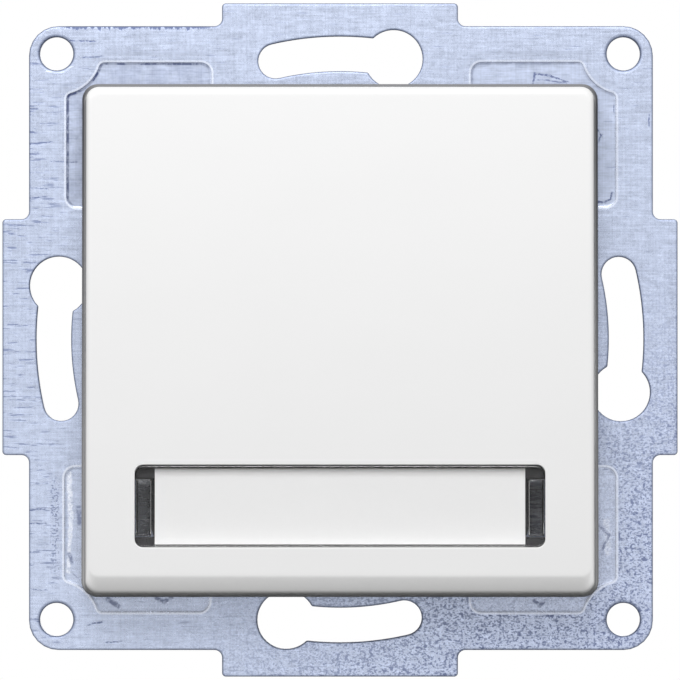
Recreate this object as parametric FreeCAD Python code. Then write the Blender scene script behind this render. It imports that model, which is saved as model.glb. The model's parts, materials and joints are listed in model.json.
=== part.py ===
import FreeCAD, Part
import math
import os

# A flush push button for a doorbell. A steel support ring lies on the wall, the
# mechanism sits behind it in a round wall box, and a square rocker with a name
# label tilts in front. Sizes are millimetres and degrees.
# X runs to the right, Y into the wall and Z up. The origin is the centre of the
# ring's back face, which is the face that lies on the wall.

# Support ring: the outline
ring_width = 71.0
ring_height = 70.8
ring_body = 65.6
ring_thickness = 1.2
ring_corner_radius = 3.1
tab_length = 24.8
side_tab_rise = 0.3
tab_corner_radius = 0.4
tab_root_radius = 0.8

# Support ring: the holes that a fitter uses
hole_spacing_x = 59.6
hole_spacing_z = 59.5
hole_diameter = 3.5
hole_rise = 0.35
slot_circle_diameter = 60.2
slot_width = 3.65
keyhole_diameter = 6.1
narrow_end_angle = 13.0
keyhole_angle = 10.8
slots_in_ring = 4

# Support ring: the shallow round seat in its back, which takes the mechanism
seat_diameter = 55.8
seat_depth = 0.2

# Support ring: the pressed pads round its corners
pad_reach = 29.0
pad_width = 4.4
pad_end_from_middle = 13.8
pad_end_radius = 1.1
pad_notch_radius = 4.75
pad_depth = 0.4
pad_border = 1.0
pad_border_depth = 0.12

# Rocker
rocker_width = 53.5
rocker_height = 53.3
rocker_depth = 7.6
rocker_side_wall = 1.6
rocker_face_wall = 1.8
rocker_lower_radius = 1.8
rocker_upper_radius = 0.9
rocker_corner_radius = 0.8
rocker_inner_radius = 0.6
skirt_to_ring = 2.6
rest_tilt = 4.0
press_travel = 6.5
rocker_rib_thickness = 1.0
rocker_rib_height = 3.0
rocker_rib_reach = 9.0
rocker_rib_spacing = 12.0
rocker_ribs = 4

# Name label: the opening, the window that snaps in, the card and the tray
label_drop = 17.5
label_opening_width = 42.7
label_opening_height = 8.6
label_opening_radius = 0.9
window_recess = 0.25
window_thickness = 0.9
window_gap = 0.13
window_leg_thickness = 1.4
window_leg_width = 5.7
window_leg_length = 3.2
window_leg_drop = 0.12
window_leg_inset = 0.12
window_hook = 0.15
window_hook_length = 0.9
card_thickness = 0.25
card_to_window = 0.05
card_end_gap = 0.43
card_edge_gap = 0.35
tray_thickness = 1.2
tray_overlap = 1.3
tray_gap = 0.2
leg_slot_gap = 0.2
rocker_to_tray = 0.05

# Rocker cradle, its axle and its hollow finger
pivot_drop = 0.2
bearing_height = 3.2
cradle_plate_thickness = 1.6
cradle_width = 33.4
cradle_above_pivot = 14.0
cradle_below_pivot = 10.8
cradle_ear_thickness = 1.7
cradle_ear_radius = 2.9
axle_radius = 1.5
axle_clearance = 0.05
axle_end_gap = 0.3
ear_side_gap = 0.4
peg_radius = 1.3
peg_clearance = 0.1
peg_spacing_x = 22.0
peg_above_pivot = 10.5
peg_below_pivot = 5.5
peg_proud = 0.6
finger_radius = 2.6
finger_length = 10.0
finger_wall = 0.95
finger_roof = 0.5

# Contact plunger and the coil springs
plunger_clearance = 0.1
plunger_in_finger = 4.0
plunger_tip_gap = 0.3
plunger_spring_wire = 0.3
plunger_spring_turns = 6
spring_radius = 2.5
spring_wire = 0.45
spring_turns = 6
spring_below_pivot = 8.4
spring_seat_gap = 0.1
spring_pin_radius = 1.5
spring_pin_length = 1.4
spring_pocket_depth = 2.0
spring_pocket_gap = 0.5

# Mechanism frame: the front half of the insulating body
frame_lip = 2.0
frame_past_rivets = 0.3
frame_flange = 1.2
frame_corner_radius = 5.0
frame_plug_depth = 2.7
frame_plug_radius = 2.0
frame_clearance = 0.3
bearing_post_width = 2.4
bearing_wall = 1.55
finger_room = 0.35

# Mechanism base: the rear half, and the cover that closes it
base_width = 39.2
base_depth = 20.2
base_wall = 1.6
base_corner_radius = 2.4
rivet_flange_width = 30.0
rivet_flange_thickness = 2.8
rivet_flange_margin = 1.9
partition_thickness = 1.0
partition_from_middle = 9.6
partition_short = 1.2
shelf_depth = 9.3
cover_thickness = 1.8
cover_lip = 1.2
cover_lip_depth = 1.0
cover_fit = 0.2
snap_width = 6.0
snap_height = 2.0
snap_in = 1.0
snap_gap = 0.2
snap_lug = 1.0

# Rivets that hold the ring between the two halves
rivet_radius = 1.0
rivet_hole_gap = 0.1
rivet_head_radius = 1.75
rivet_head_height = 0.7
rivet_spacing_x = 23.0
rivet_to_wall = 0.1

# Terminals and contacts
terminal_thickness = 0.8
terminal_height = 16.0
terminal_short = 1.0
bridge_height = 5.6
bridge_past_middle = 2.5
knife_height = 1.15
knife_width = 1.4
knife_gap = 0.1
blade_thickness = 0.5
blade_width = 5.0
blade_half_length = 8.4
blade_corner_radius = 0.5
blade_groove_radius = 0.2
contact_radius = 1.6
contact_from_pivot = 6.5
contact_thickness = 0.6
closed_gap = 0.1
contact_shank_radius = 0.7
contact_shank_gap = 0.05
contact_head_radius = 1.2
contact_head_height = 0.25
fixed_bridge_height = 4.4

# Wire entries, clamp springs and release levers
wire_entry_radius = 2.0
wire_from_middle = 13.4
wire_spacing_z = 11.0
clamp_thickness = 0.4
clamp_width = 15.0
clamp_bend_radius = 1.2
clamp_bend_angle = 140.0
clamp_fixed_leg = 6.0
clamp_to_cover = 0.8
clamp_wall_gap = 0.1
clamp_tip_gap = 0.3
lever_thickness = 2.4
lever_height = 4.0
lever_proud = 1.2
lever_gap = 0.2
lever_to_spring = 0.25
lever_shoulder = 1.2
lever_shoulder_depth = 1.0
lever_stop_gap = 0.1
lever_groove = 0.6

# Claws that spread in the wall box, with their screws and springs
claw_arm = 3.1
claw_screw_radius = 1.25
claw_screw_length = 10.0
claw_screw_chamfer = 0.3
claw_head_radius = 2.4
claw_head_height = 1.7
claw_screw_slot = 0.6
claw_screw_slot_depth = 0.9
claw_screw_hole_gap = 0.35
claw_pivot_from_wall = 0.9
claw_pivot_depth = 3.6
claw_thickness = 1.2
claw_hole_wall = 0.7
claw_plate_height = 12.0
claw_leg_height = 2.8
claw_leg_end = 19.0
claw_tooth = 2.0
claw_tooth_length = 3.0
claw_open_angle = 27.0
claw_pin_radius = 0.7
claw_pin_clearance = 0.06
claw_ear_thickness = 1.4
claw_ear_gap = 0.3
claw_ear_wall = 0.9
claw_hole_gap = 0.2
claw_spring_wire = 0.35
claw_spring_turns = 3
claw_spring_gap = 0.25

# Places that follow from the sizes above
ring_front = -ring_thickness
seat_y = -seat_depth
flange_back_y = seat_y + rivet_flange_thickness
frame_front = ring_front - frame_flange
pivot_y = frame_front - bearing_height
pivot_z = -pivot_drop
skirt_y = ring_front - skirt_to_ring
face_y = skirt_y - rocker_depth
inner_face_y = face_y + rocker_face_wall
cradle_back_y = inner_face_y + cradle_plate_thickness
label_z = pivot_z - label_drop
window_front_y = face_y + window_recess
window_back_y = window_front_y + window_thickness
card_front_y = window_back_y + card_to_window
tray_front_y = card_front_y + card_thickness
tray_back_y = inner_face_y + tray_thickness
finger_end_y = cradle_back_y + finger_length
finger_bore = finger_radius - finger_wall
finger_roof_y = cradle_back_y + finger_roof
base_inside = base_width - 2 * base_wall
frame_opening = base_inside
frame_width = frame_opening + 2 * frame_lip
partition_end = base_depth - partition_short
terminal_end = partition_end - terminal_short
clamp_bend_depth = base_depth - cover_lip_depth - clamp_to_cover - clamp_bend_radius - clamp_thickness / 2
cover_back_y = base_depth + cover_thickness
bar_inner = partition_from_middle + partition_thickness
bar_outer = bar_inner + terminal_thickness
bridge_front_y = shelf_depth - terminal_thickness
blade_axis_y = bridge_front_y - knife_height - knife_gap
fixed_contact_front_y = blade_axis_y + contact_thickness + closed_gap
plunger_tip_y = blade_axis_y - blade_thickness - plunger_tip_gap
plunger_radius = finger_bore - plunger_clearance
plunger_back_y = finger_end_y - plunger_in_finger
contact_z = pivot_z + contact_from_pivot
rivet_z = base_width / 2 + rivet_to_wall + rivet_head_radius
frame_height = 2 * (rivet_z + rivet_head_radius + frame_past_rivets)
claw_pivot_x = base_width / 2 + claw_pivot_from_wall
claw_screw_from_middle = claw_pivot_x + claw_arm
claw_front_y = claw_pivot_depth - claw_thickness / 2
spring_floor_y = frame_front + spring_pocket_depth
ear_outer_x = cradle_width / 2
bearing_inner_x = ear_outer_x + ear_side_gap
bearing_outer_x = bearing_inner_x + bearing_post_width
same_place = 0.001

os.makedirs("parts", exist_ok=True)
vec = FreeCAD.Vector


# Helpers for plain shapes

def block(width, height, y_from, y_to, x=0.0, z=0.0):
    """A box centred on x and z, from one depth to another."""
    corner = vec(x - width / 2, y_from, z - height / 2)
    return Part.makeBox(width, y_to - y_from, height, corner)


def rod(radius, y_from, y_to, x=0.0, z=0.0):
    """A round bar that runs from front to back."""
    return Part.makeCylinder(radius, y_to - y_from, vec(x, y_from, z), vec(0, 1, 0))


def cross_rod(radius, x_from, x_to, y, z):
    """A round bar that runs from left to right."""
    return Part.makeCylinder(radius, x_to - x_from, vec(x_from, y, z), vec(1, 0, 0))


def upright_rod(radius, z_from, z_to, x, y):
    """A round bar that stands upright."""
    return Part.makeCylinder(radius, z_to - z_from, vec(x, y, z_from), vec(0, 0, 1))


def extruded(corners, direction):
    """A flat outline with straight sides, pushed along a direction."""
    outline = Part.makePolygon(corners + corners[:1])
    return Part.Face(outline).extrude(direction)


def depth_edges(shape, wanted=None):
    """The straight edges from front to back, all or those whose x and z are wanted."""
    found = []
    for edge in shape.Edges:
        if not isinstance(edge.Curve, Part.Line):
            continue
        start, end = edge.Vertexes[0].Point, edge.Vertexes[-1].Point
        along_depth = abs(start.x - end.x) < same_place and abs(start.z - end.z) < same_place
        if along_depth and (wanted is None or wanted(abs(start.x), abs(start.z))):
            found.append(edge)
    return found


def rounded_block(width, height, radius, y_from, y_to, x=0.0, z=0.0):
    """A box whose four edges from front to back are rounded."""
    plain = block(width, height, y_from, y_to, x, z)
    return plain.makeFillet(radius, depth_edges(plain))


def mirrored(shape):
    """The same shape on the other side of the middle."""
    return shape.mirror(vec(0, 0, 0), vec(1, 0, 0))


def at_rest(shape):
    """A piece of the rocker group, turned from square to its tilt at rest."""
    turned = shape.copy()
    turned.rotate(vec(0, pivot_y, pivot_z), vec(1, 0, 0), -rest_tilt)
    return turned


def save(shape, name):
    """Write one piece to its own file."""
    shape.exportStep("parts/" + name + ".step")


def four_corners(spread_x, spread_z, middle_z=0.0):
    """The four corners of a rectangle about the middle."""
    return [(sx * spread_x / 2, middle_z + sz * spread_z / 2) for sx in (-1, 1) for sz in (-1, 1)]


def cut_rods(shape, radius, y_from, y_to, spots):
    """Drill a round hole at each spot."""
    for x, z in spots:
        shape = shape.cut(rod(radius, y_from, y_to, x, z))
    return shape


# Coil springs: a round wire swept along smooth arcs

def helix_point(radius, start_y, pitch, turns):
    """A point on a helix after some turns, and the direction of the wire there."""
    angle = 2 * math.pi * turns
    point = vec(radius * math.cos(angle), start_y + pitch * turns, radius * math.sin(angle))
    heading = vec(-radius * math.sin(angle), pitch / (2 * math.pi), radius * math.cos(angle))
    return point, heading.normalize()


def smooth_arc(start, corner, end):
    """The arc that leaves start and reaches end along the two lines through corner."""
    middle = (start + end) * 0.5
    half_chord = (end - start).Length / 2
    side = (corner - start).Length
    rise = half_chord * math.tan(math.acos(min(half_chord / side, 1.0)) / 2)
    top = middle + (corner - middle).normalize() * rise
    return Part.Arc(start, top, end).toShape()


def arc_pair(start, heading, end, end_heading):
    """Two arcs in line with each other that join two points of a helix."""
    span = end - start
    bend = 2 * (heading.dot(end_heading) - 1)
    slope = -2 * span.dot(heading + end_heading)
    reach = (-slope - math.sqrt(slope * slope - 4 * bend * span.dot(span))) / (2 * bend)
    first_corner = start + heading * reach
    second_corner = end - end_heading * reach
    joint = (first_corner + second_corner) * 0.5
    return [smooth_arc(start, first_corner, joint), smooth_arc(joint, second_corner, end)]


def coil(outer_radius, wire, turns, y_from, y_to, x=0.0, z=0.0):
    """A coil spring that stands between two depths."""
    radius = outer_radius - wire / 2
    start_y = y_from + wire / 2
    pitch = (y_to - y_from - wire) / turns
    quarters = int(round(4 * turns))
    arcs = []
    for quarter in range(quarters):
        start, heading = helix_point(radius, start_y, pitch, quarter / 4)
        end, end_heading = helix_point(radius, start_y, pitch, (quarter + 1) / 4)
        arcs += arc_pair(start, heading, end, end_heading)
    start, heading = helix_point(radius, start_y, pitch, 0)
    section = Part.Wire(Part.Circle(start, heading, wire / 2).toShape())
    spring = Part.Wire(arcs).makePipeShell([section], True, False)
    spring.translate(vec(x, 0, z))
    return spring


# Support ring

def ring_blank():
    """The ring's outline: a square body with a tab on each side."""
    body = block(ring_body, ring_body, ring_front, 0)
    across = block(ring_width, tab_length, ring_front, 0, z=side_tab_rise)
    upright = block(tab_length, ring_height, ring_front, 0)
    blank = body.fuse([across, upright]).removeSplitter()
    half_body = ring_body / 2
    half_tab = tab_length / 2 + abs(side_tab_rise) + same_place

    def at_body(distance):
        return abs(distance - half_body) < same_place

    def is_corner(x, z):
        return at_body(x) and at_body(z)

    def is_root(x, z):
        return (at_body(x) and z < half_tab) or (at_body(z) and x < half_tab)

    def is_tip(x, z):
        return max(x, z) > half_body + same_place

    blank = blank.makeFillet(ring_corner_radius, depth_edges(blank, is_corner))
    blank = blank.makeFillet(tab_root_radius, depth_edges(blank, is_root))
    return blank.makeFillet(tab_corner_radius, depth_edges(blank, is_tip))


def around_front(radius, angle, y):
    """A point on a circle in the ring's plane, by its angle as seen from the front."""
    turn = math.radians(angle)
    return vec(radius * math.cos(turn), y, radius * math.sin(turn))


def keyhole(side_angle):
    """A slot on the fixing circle that widens into a round end, which a screw head passes."""
    circle = slot_circle_diameter / 2
    narrow = side_angle + narrow_end_angle
    wide = side_angle - keyhole_angle
    outer, inner = circle + slot_width / 2, circle - slot_width / 2

    def arc(radius, first, last):
        points = [around_front(radius, angle, ring_front) for angle in (first, (first + last) / 2, last)]
        return Part.Arc(*points).toShape()

    def side(angle):
        return Part.makeLine(around_front(outer, angle, ring_front), around_front(inner, angle, ring_front))

    outline = Part.Wire(Part.__sortEdges__([
        arc(outer, narrow, wide), side(wide), arc(inner, wide, narrow), side(narrow)]))
    slot = Part.Face(outline).extrude(vec(0, ring_thickness, 0))
    narrow_spot = around_front(circle, narrow, ring_front)
    wide_spot = around_front(circle, wide, ring_front)
    narrow_end = rod(slot_width / 2, ring_front, 0, narrow_spot.x, narrow_spot.z)
    round_end = rod(keyhole_diameter / 2, ring_front, 0, wide_spot.x, wide_spot.z)
    return slot.fuse([narrow_end, round_end])


def pressed_pad(grow, depth):
    """One pad round the upper right corner, larger all round by grow."""
    outer = pad_reach + grow
    inner = pad_reach - pad_width - grow
    end = pad_end_from_middle - grow
    width, length = outer - inner, outer - end
    middle_band, middle_length = (outer + inner) / 2, (outer + end) / 2
    floor = ring_front + depth
    level = block(length, width, ring_front, floor, middle_length, middle_band)
    upright = block(width, length, ring_front, floor, middle_band, middle_length)
    pad = level.fuse(upright).removeSplitter()

    def is_end(x, z):
        low, high = min(x, z), max(x, z)
        return abs(low - end) < same_place and abs(high - outer) < same_place

    return pad.makeFillet(pad_end_radius + grow, depth_edges(pad, is_end))


def corner_pads(grow, depth):
    """The pads of all four corners, each cut back round its corner hole."""
    pad = pressed_pad(grow, depth)
    lower = pad.mirror(vec(0, 0, 0), vec(0, 0, 1))
    pads = []
    for shape in (pad, lower, mirrored(pad), mirrored(lower)):
        pads.append(cut_rods(shape, pad_notch_radius - grow, ring_front, 0, hole_spots()))
    return pads


def hole_spots():
    """Where the corner holes are."""
    return four_corners(hole_spacing_x, hole_spacing_z, hole_rise)


def rivet_spots():
    """Where the rivets are."""
    return four_corners(rivet_spacing_x, 2 * rivet_z)


def claw_screw_spots():
    """Where the claw screws are."""
    return [(-claw_screw_from_middle, 0), (claw_screw_from_middle, 0)]


def support_ring():
    """The steel ring: outline, opening, slots, holes and pressed pads."""
    ring = ring_blank()
    opening = rounded_block(frame_opening, frame_opening, frame_plug_radius, ring_front, 0)
    slots = [keyhole(index * 360.0 / slots_in_ring) for index in range(slots_in_ring)]
    ring = ring.cut([opening] + slots)
    ring = cut_rods(ring, hole_diameter / 2, ring_front, 0, hole_spots())
    ring = cut_rods(ring, rivet_radius + rivet_hole_gap, ring_front, 0, rivet_spots())
    ring = cut_rods(ring, claw_screw_radius + claw_screw_hole_gap, ring_front, 0, claw_screw_spots())
    ring = ring.cut(rod(seat_diameter / 2, seat_y, 0))
    ring = ring.cut(corner_pads(pad_border, pad_border_depth))
    return ring.cut(corner_pads(0, pad_depth))


# Insulating body

def mechanism_frame():
    """The front half: a flange on the ring, a plug through it and two bearing posts."""
    flange = rounded_block(frame_width, frame_height, frame_corner_radius, frame_front, ring_front)
    plug_width = frame_opening - 2 * frame_clearance
    plug = rounded_block(plug_width, plug_width, frame_plug_radius, ring_front,
                         ring_front + frame_plug_depth)
    frame = flange.fuse(plug)
    post_radius = axle_radius + axle_clearance + bearing_wall
    bore = axle_radius + axle_clearance
    for side in (-1, 1):
        middle = side * (bearing_inner_x + bearing_outer_x) / 2
        start = middle - bearing_post_width / 2
        post = block(bearing_post_width, 2 * post_radius, pivot_y, frame_front, middle, pivot_z)
        post = post.fuse(cross_rod(post_radius, start, start + bearing_post_width, pivot_y, pivot_z))
        hole = cross_rod(bore, start, start + bearing_post_width, pivot_y, pivot_z)
        frame = frame.fuse(post).cut(hole)
    swing = (finger_end_y - pivot_y) * math.sin(math.radians(rest_tilt))
    room = finger_radius + finger_room
    passage = rounded_block(2 * room, 2 * (room + swing), room / 2, frame_front,
                            ring_front + frame_plug_depth, z=pivot_z)
    pocket = rod(spring_radius + spring_pocket_gap, frame_front, spring_floor_y,
                 z=pivot_z - spring_below_pivot)
    frame = frame.cut([passage, pocket])
    frame = cut_rods(frame, rivet_radius + rivet_hole_gap, frame_front, ring_front, rivet_spots())
    frame = cut_rods(frame, rivet_head_radius + rivet_hole_gap, frame_front,
                     frame_front + rivet_head_height, rivet_spots())
    return frame.removeSplitter()


def claw_ears():
    """The ears on the base's sides that hold the claws' pins."""
    ears = []
    radius = claw_pin_radius + claw_pin_clearance + claw_ear_wall
    inner_z = claw_plate_height / 2 + claw_ear_gap
    for side in (-1, 1):
        for level in (-1, 1):
            middle_z = level * (inner_z + claw_ear_thickness / 2)
            start_z = middle_z - claw_ear_thickness / 2
            pivot_x = side * claw_pivot_x
            root = block(claw_pivot_from_wall, claw_ear_thickness, claw_pivot_depth - radius,
                         claw_pivot_depth + radius, pivot_x - side * claw_pivot_from_wall / 2, middle_z)
            knob = upright_rod(radius, start_z, start_z + claw_ear_thickness, pivot_x, claw_pivot_depth)
            hole = upright_rod(claw_pin_radius + claw_pin_clearance, start_z,
                               start_z + claw_ear_thickness, pivot_x, claw_pivot_depth)
            wall = block(base_wall, claw_ear_thickness, claw_pivot_depth - radius,
                         claw_pivot_depth + radius, side * (base_width - base_wall) / 2, middle_z)
            ears.append(root.fuse([knob, wall]).cut(hole))
    return ears


def snap_windows(gap, reach):
    """The places near the back rim where the cover's lugs show through the wall."""
    windows = []
    middle_y = base_depth - cover_lip_depth - snap_in
    for level in (-1, 1):
        middle_z = level * (base_inside / 2 + (reach - cover_fit) / 2)
        windows.append(block(snap_width - 2 * gap, reach + cover_fit, middle_y - snap_height / 2 + gap,
                             middle_y + snap_height / 2 - gap, z=middle_z))
    return windows


def mechanism_base():
    """The rear half: walls, partitions, a flange for the rivets and ears for the claws."""
    outer = rounded_block(base_width, base_width, base_corner_radius, seat_y, base_depth)
    flange_height = 2 * (rivet_z + rivet_flange_margin)
    flange = rounded_block(rivet_flange_width, flange_height, rivet_flange_margin, seat_y,
                           flange_back_y)
    inner = rounded_block(base_inside, base_inside, frame_plug_radius, seat_y, base_depth)
    base = outer.fuse(flange).cut(inner)
    for side in (-1, 1):
        middle = side * (partition_from_middle + partition_thickness / 2)
        partition = block(partition_thickness, base_width - base_wall, shelf_depth, partition_end, middle)
        base = base.fuse(partition)
    base = base.fuse(claw_ears())
    base = cut_rods(base, rivet_radius + rivet_hole_gap, seat_y, flange_back_y, rivet_spots())
    return base.cut(snap_windows(0, base_wall + cover_fit)).removeSplitter()


def terminal_cover():
    """The rear cover with its wire entries, its lever slots and its snap lugs."""
    plate = rounded_block(base_width, base_width, base_corner_radius, base_depth, cover_back_y)
    lip_width = base_inside - 2 * cover_fit
    lip_front = base_depth - cover_lip_depth
    lip = rounded_block(lip_width, lip_width, frame_plug_radius, lip_front, base_depth)
    hollow = block(lip_width - 2 * cover_lip, lip_width - 2 * cover_lip, lip_front, base_depth)
    cover = plate.fuse(lip.cut(hollow))
    for level in (-1, 1):
        tongue_z = level * (lip_width - cover_lip) / 2
        tongue_front = lip_front - snap_in - snap_height / 2
        tongue = block(snap_width - 2 * snap_gap, cover_lip, tongue_front, lip_front, z=tongue_z)
        cover = cover.fuse(tongue)
    cover = cover.fuse(snap_windows(snap_gap, snap_lug))
    for side in (-1, 1):
        slot = block(lever_thickness + 2 * lever_gap, lever_height + 2 * lever_gap, base_depth,
                     cover_back_y, side * wire_from_middle)
        cover = cover.cut(slot)
    cover = cut_rods(cover, wire_entry_radius, base_depth, cover_back_y, wire_spots())
    return cover.removeSplitter()


def wire_spots():
    """Where the wires go in."""
    return four_corners(2 * wire_from_middle, wire_spacing_z)


def ring_rivets():
    """Four rivets with a head sunk in the frame and a formed end behind."""
    rivets = []
    for x, z in rivet_spots():
        tail_end = flange_back_y + rivet_head_height
        shank = rod(rivet_radius, frame_front, tail_end, x, z)
        head = rod(rivet_head_radius, frame_front, frame_front + rivet_head_height, x, z)
        tail = rod(rivet_head_radius, flange_back_y, tail_end, x, z)
        rivets.append(shank.fuse([head, tail]).removeSplitter())
    return Part.makeCompound(rivets)


# Rocker and its label, drawn square and then turned to rest

def rocker_body():
    """The rocker's outer form: rounder at its lower edge than at its upper one."""
    left = -rocker_width / 2
    top, bottom = pivot_z + rocker_height / 2, pivot_z - rocker_height / 2

    def at(y, z):
        return vec(left, y, z)

    def rounding(radius, edge_z, inward):
        """The arc that rolls the face over into the wall above or below."""
        side = math.sqrt(0.5) * radius
        centre_y, centre_z = face_y + radius, edge_z + inward * radius
        return Part.Arc(at(centre_y, edge_z), at(centre_y - side, centre_z - inward * side),
                        at(face_y, centre_z)).toShape()

    upper = rounding(rocker_upper_radius, top, -1)
    lower = rounding(rocker_lower_radius, bottom, 1)
    outline = Part.Wire(Part.__sortEdges__([
        Part.makeLine(at(skirt_y, top), at(face_y + rocker_upper_radius, top)),
        upper,
        Part.makeLine(at(face_y, top - rocker_upper_radius), at(face_y, bottom + rocker_lower_radius)),
        lower,
        Part.makeLine(at(face_y + rocker_lower_radius, bottom), at(skirt_y, bottom)),
        Part.makeLine(at(skirt_y, bottom), at(skirt_y, top))]))
    body = Part.Face(outline).extrude(vec(rocker_width, 0, 0))
    return body.makeFillet(rocker_corner_radius, side_edges(body))


def side_edges(body):
    """The edges round the rocker's two sides, without those at the skirt."""
    edges = []
    for edge in body.Edges:
        ends = [vertex.Point for vertex in edge.Vertexes]
        on_side = all(abs(abs(point.x) - rocker_width / 2) < same_place for point in ends)
        across = abs(ends[0].x - ends[-1].x) > same_place
        at_skirt = all(abs(point.y - skirt_y) < same_place for point in ends)
        if on_side and not across and not at_skirt:
            edges.append(edge)
    return edges


def peg_spots():
    """Where the rocker's pegs hold the cradle."""
    upper, lower = pivot_z + peg_above_pivot, pivot_z - peg_below_pivot
    return [(side * peg_spacing_x / 2, z) for side in (-1, 1) for z in (lower, upper)]


def rocker():
    """The button that is pressed, hollow behind, with the opening for the label."""
    hollow_width = rocker_width - 2 * rocker_side_wall
    hollow_height = rocker_height - 2 * rocker_side_wall
    hollow = rounded_block(hollow_width, hollow_height, rocker_inner_radius, inner_face_y, skirt_y,
                           z=pivot_z)
    opening = rounded_block(label_opening_width, label_opening_height, label_opening_radius, face_y,
                            inner_face_y, z=label_z)
    body = rocker_body().cut([hollow, opening])
    top = pivot_z + hollow_height / 2
    ribs = []
    for index in range(rocker_ribs):
        x = (index - (rocker_ribs - 1) / 2) * rocker_rib_spacing
        ribs.append(block(rocker_rib_thickness, rocker_rib_reach, inner_face_y,
                          inner_face_y + rocker_rib_height, x, top - rocker_rib_reach / 2))
    pegs = [rod(peg_radius, inner_face_y, cradle_back_y + peg_proud, x, z) for x, z in peg_spots()]
    return at_rest(body.fuse(ribs + pegs).removeSplitter())


def rocker_cradle():
    """The carrier behind the rocker: plate, ears with axle ends, finger and spring pin."""
    height = cradle_above_pivot + cradle_below_pivot
    middle_z = pivot_z + (cradle_above_pivot - cradle_below_pivot) / 2
    cradle = block(cradle_width, height, inner_face_y, cradle_back_y, z=middle_z)
    for side in (-1, 1):
        ear_x = side * (ear_outer_x - cradle_ear_thickness / 2)
        start = ear_x - cradle_ear_thickness / 2
        ear = block(cradle_ear_thickness, 2 * cradle_ear_radius, cradle_back_y, pivot_y, ear_x, pivot_z)
        end = cross_rod(cradle_ear_radius, start, start + cradle_ear_thickness, pivot_y, pivot_z)
        inner, outer = ear_outer_x, bearing_outer_x - axle_end_gap
        axle_start = min(side * inner, side * outer)
        axle = cross_rod(axle_radius, axle_start, axle_start + outer - inner, pivot_y, pivot_z)
        cradle = cradle.fuse([ear, end, axle])
    finger = rod(finger_radius, cradle_back_y, finger_end_y, z=pivot_z)
    bore = rod(finger_bore, finger_roof_y, finger_end_y, z=pivot_z)
    pin = rod(spring_pin_radius, cradle_back_y, cradle_back_y + spring_pin_length,
              z=pivot_z - spring_below_pivot)
    cradle = cradle.fuse([finger, pin]).cut(bore)
    cradle = cut_rods(cradle, peg_radius + peg_clearance, inner_face_y, cradle_back_y, peg_spots())
    return at_rest(cradle.removeSplitter())


def leg_middle():
    """How far from the middle each snap leg of the window is."""
    return label_opening_width / 2 - window_gap - window_leg_inset - window_leg_thickness / 2


def label_tray():
    """The dark tray behind the opening, which carries the card and the window."""
    back = rounded_block(label_opening_width + 2 * tray_overlap, label_opening_height + 2 * tray_overlap,
                         label_opening_radius, inner_face_y + rocker_to_tray, tray_back_y, z=label_z)
    pad = rounded_block(label_opening_width - 2 * tray_gap, label_opening_height - 2 * tray_gap,
                        label_opening_radius - tray_gap, tray_front_y, inner_face_y + rocker_to_tray,
                        z=label_z)
    tray = back.fuse(pad)
    for side in (-1, 1):
        slot = block(window_leg_thickness + 2 * (window_hook + leg_slot_gap),
                     window_leg_width + 2 * leg_slot_gap, tray_front_y, tray_back_y,
                     side * leg_middle(), label_z - window_leg_drop)
        tray = tray.cut(slot)
    return at_rest(tray.removeSplitter())


def label_card():
    """The blank card that takes the name."""
    width = 2 * (leg_middle() - window_leg_thickness / 2 - card_end_gap)
    height = label_opening_height - 2 * card_edge_gap
    return at_rest(block(width, height, card_front_y, tray_front_y, z=label_z))


def label_window():
    """The clear window over the card, with a snap leg at each end."""
    window = rounded_block(label_opening_width - 2 * window_gap, label_opening_height - 2 * window_gap,
                           label_opening_radius - window_gap, window_front_y, window_back_y, z=label_z)
    leg_z = label_z - window_leg_drop
    leg_end = window_back_y + window_leg_length
    for side in (-1, 1):
        leg = block(window_leg_thickness, window_leg_width, window_back_y, leg_end,
                    side * leg_middle(), leg_z)
        outer = leg_middle() + window_leg_thickness / 2
        hook = extruded([vec(side * outer, leg_end, leg_z - window_leg_width / 2),
                         vec(side * (outer + window_hook), leg_end - window_hook_length / 2,
                             leg_z - window_leg_width / 2),
                         vec(side * outer, leg_end - window_hook_length, leg_z - window_leg_width / 2)],
                        vec(0, 0, window_leg_width))
        window = window.fuse([leg, hook])
    return at_rest(window.removeSplitter())


# Springs and plunger of the rocker

def return_spring():
    """The coil that pushes the rocker's lower half out again."""
    near_edge = spring_below_pivot - spring_radius
    turn = math.radians(rest_tilt)
    plate = (cradle_back_y - pivot_y) * math.cos(turn) - near_edge * math.sin(turn)
    return coil(spring_radius, spring_wire, spring_turns, pivot_y + plate + spring_seat_gap,
                spring_floor_y, z=pivot_z - spring_below_pivot)


def contact_plunger():
    """The round-ended plunger that rocks the contact blade."""
    tip_middle = plunger_tip_y - plunger_radius
    shank = rod(plunger_radius, plunger_back_y, tip_middle, z=pivot_z)
    tip = Part.makeSphere(plunger_radius, vec(0, tip_middle, pivot_z))
    return at_rest(shank.fuse(tip).removeSplitter())


def plunger_spring():
    """The coil inside the finger, behind the plunger."""
    spring = coil(plunger_radius, plunger_spring_wire, plunger_spring_turns, finger_roof_y,
                  plunger_back_y, z=pivot_z)
    return at_rest(spring)


# Contacts and terminals

def at_open(shape):
    """A piece of the contact blade, turned from closed to its place at rest."""
    turned = shape.copy()
    turned.rotate(vec(0, blade_axis_y, pivot_z), vec(1, 0, 0), press_travel)
    return turned


def contact_rivet(front_y, disc, backing, direction, z):
    """A contact with a disc on one side of a strip, a shank through it and a small head."""
    strip_y = front_y + direction * disc
    head_y = strip_y + direction * backing
    end_y = head_y + direction * contact_head_height
    face = rod(contact_radius, min(front_y, strip_y), max(front_y, strip_y), z=z)
    shank = rod(contact_shank_radius, min(front_y, end_y), max(front_y, end_y), z=z)
    head = rod(contact_head_radius, min(head_y, end_y), max(head_y, end_y), z=z)
    return face.fuse([shank, head]).removeSplitter()


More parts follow.
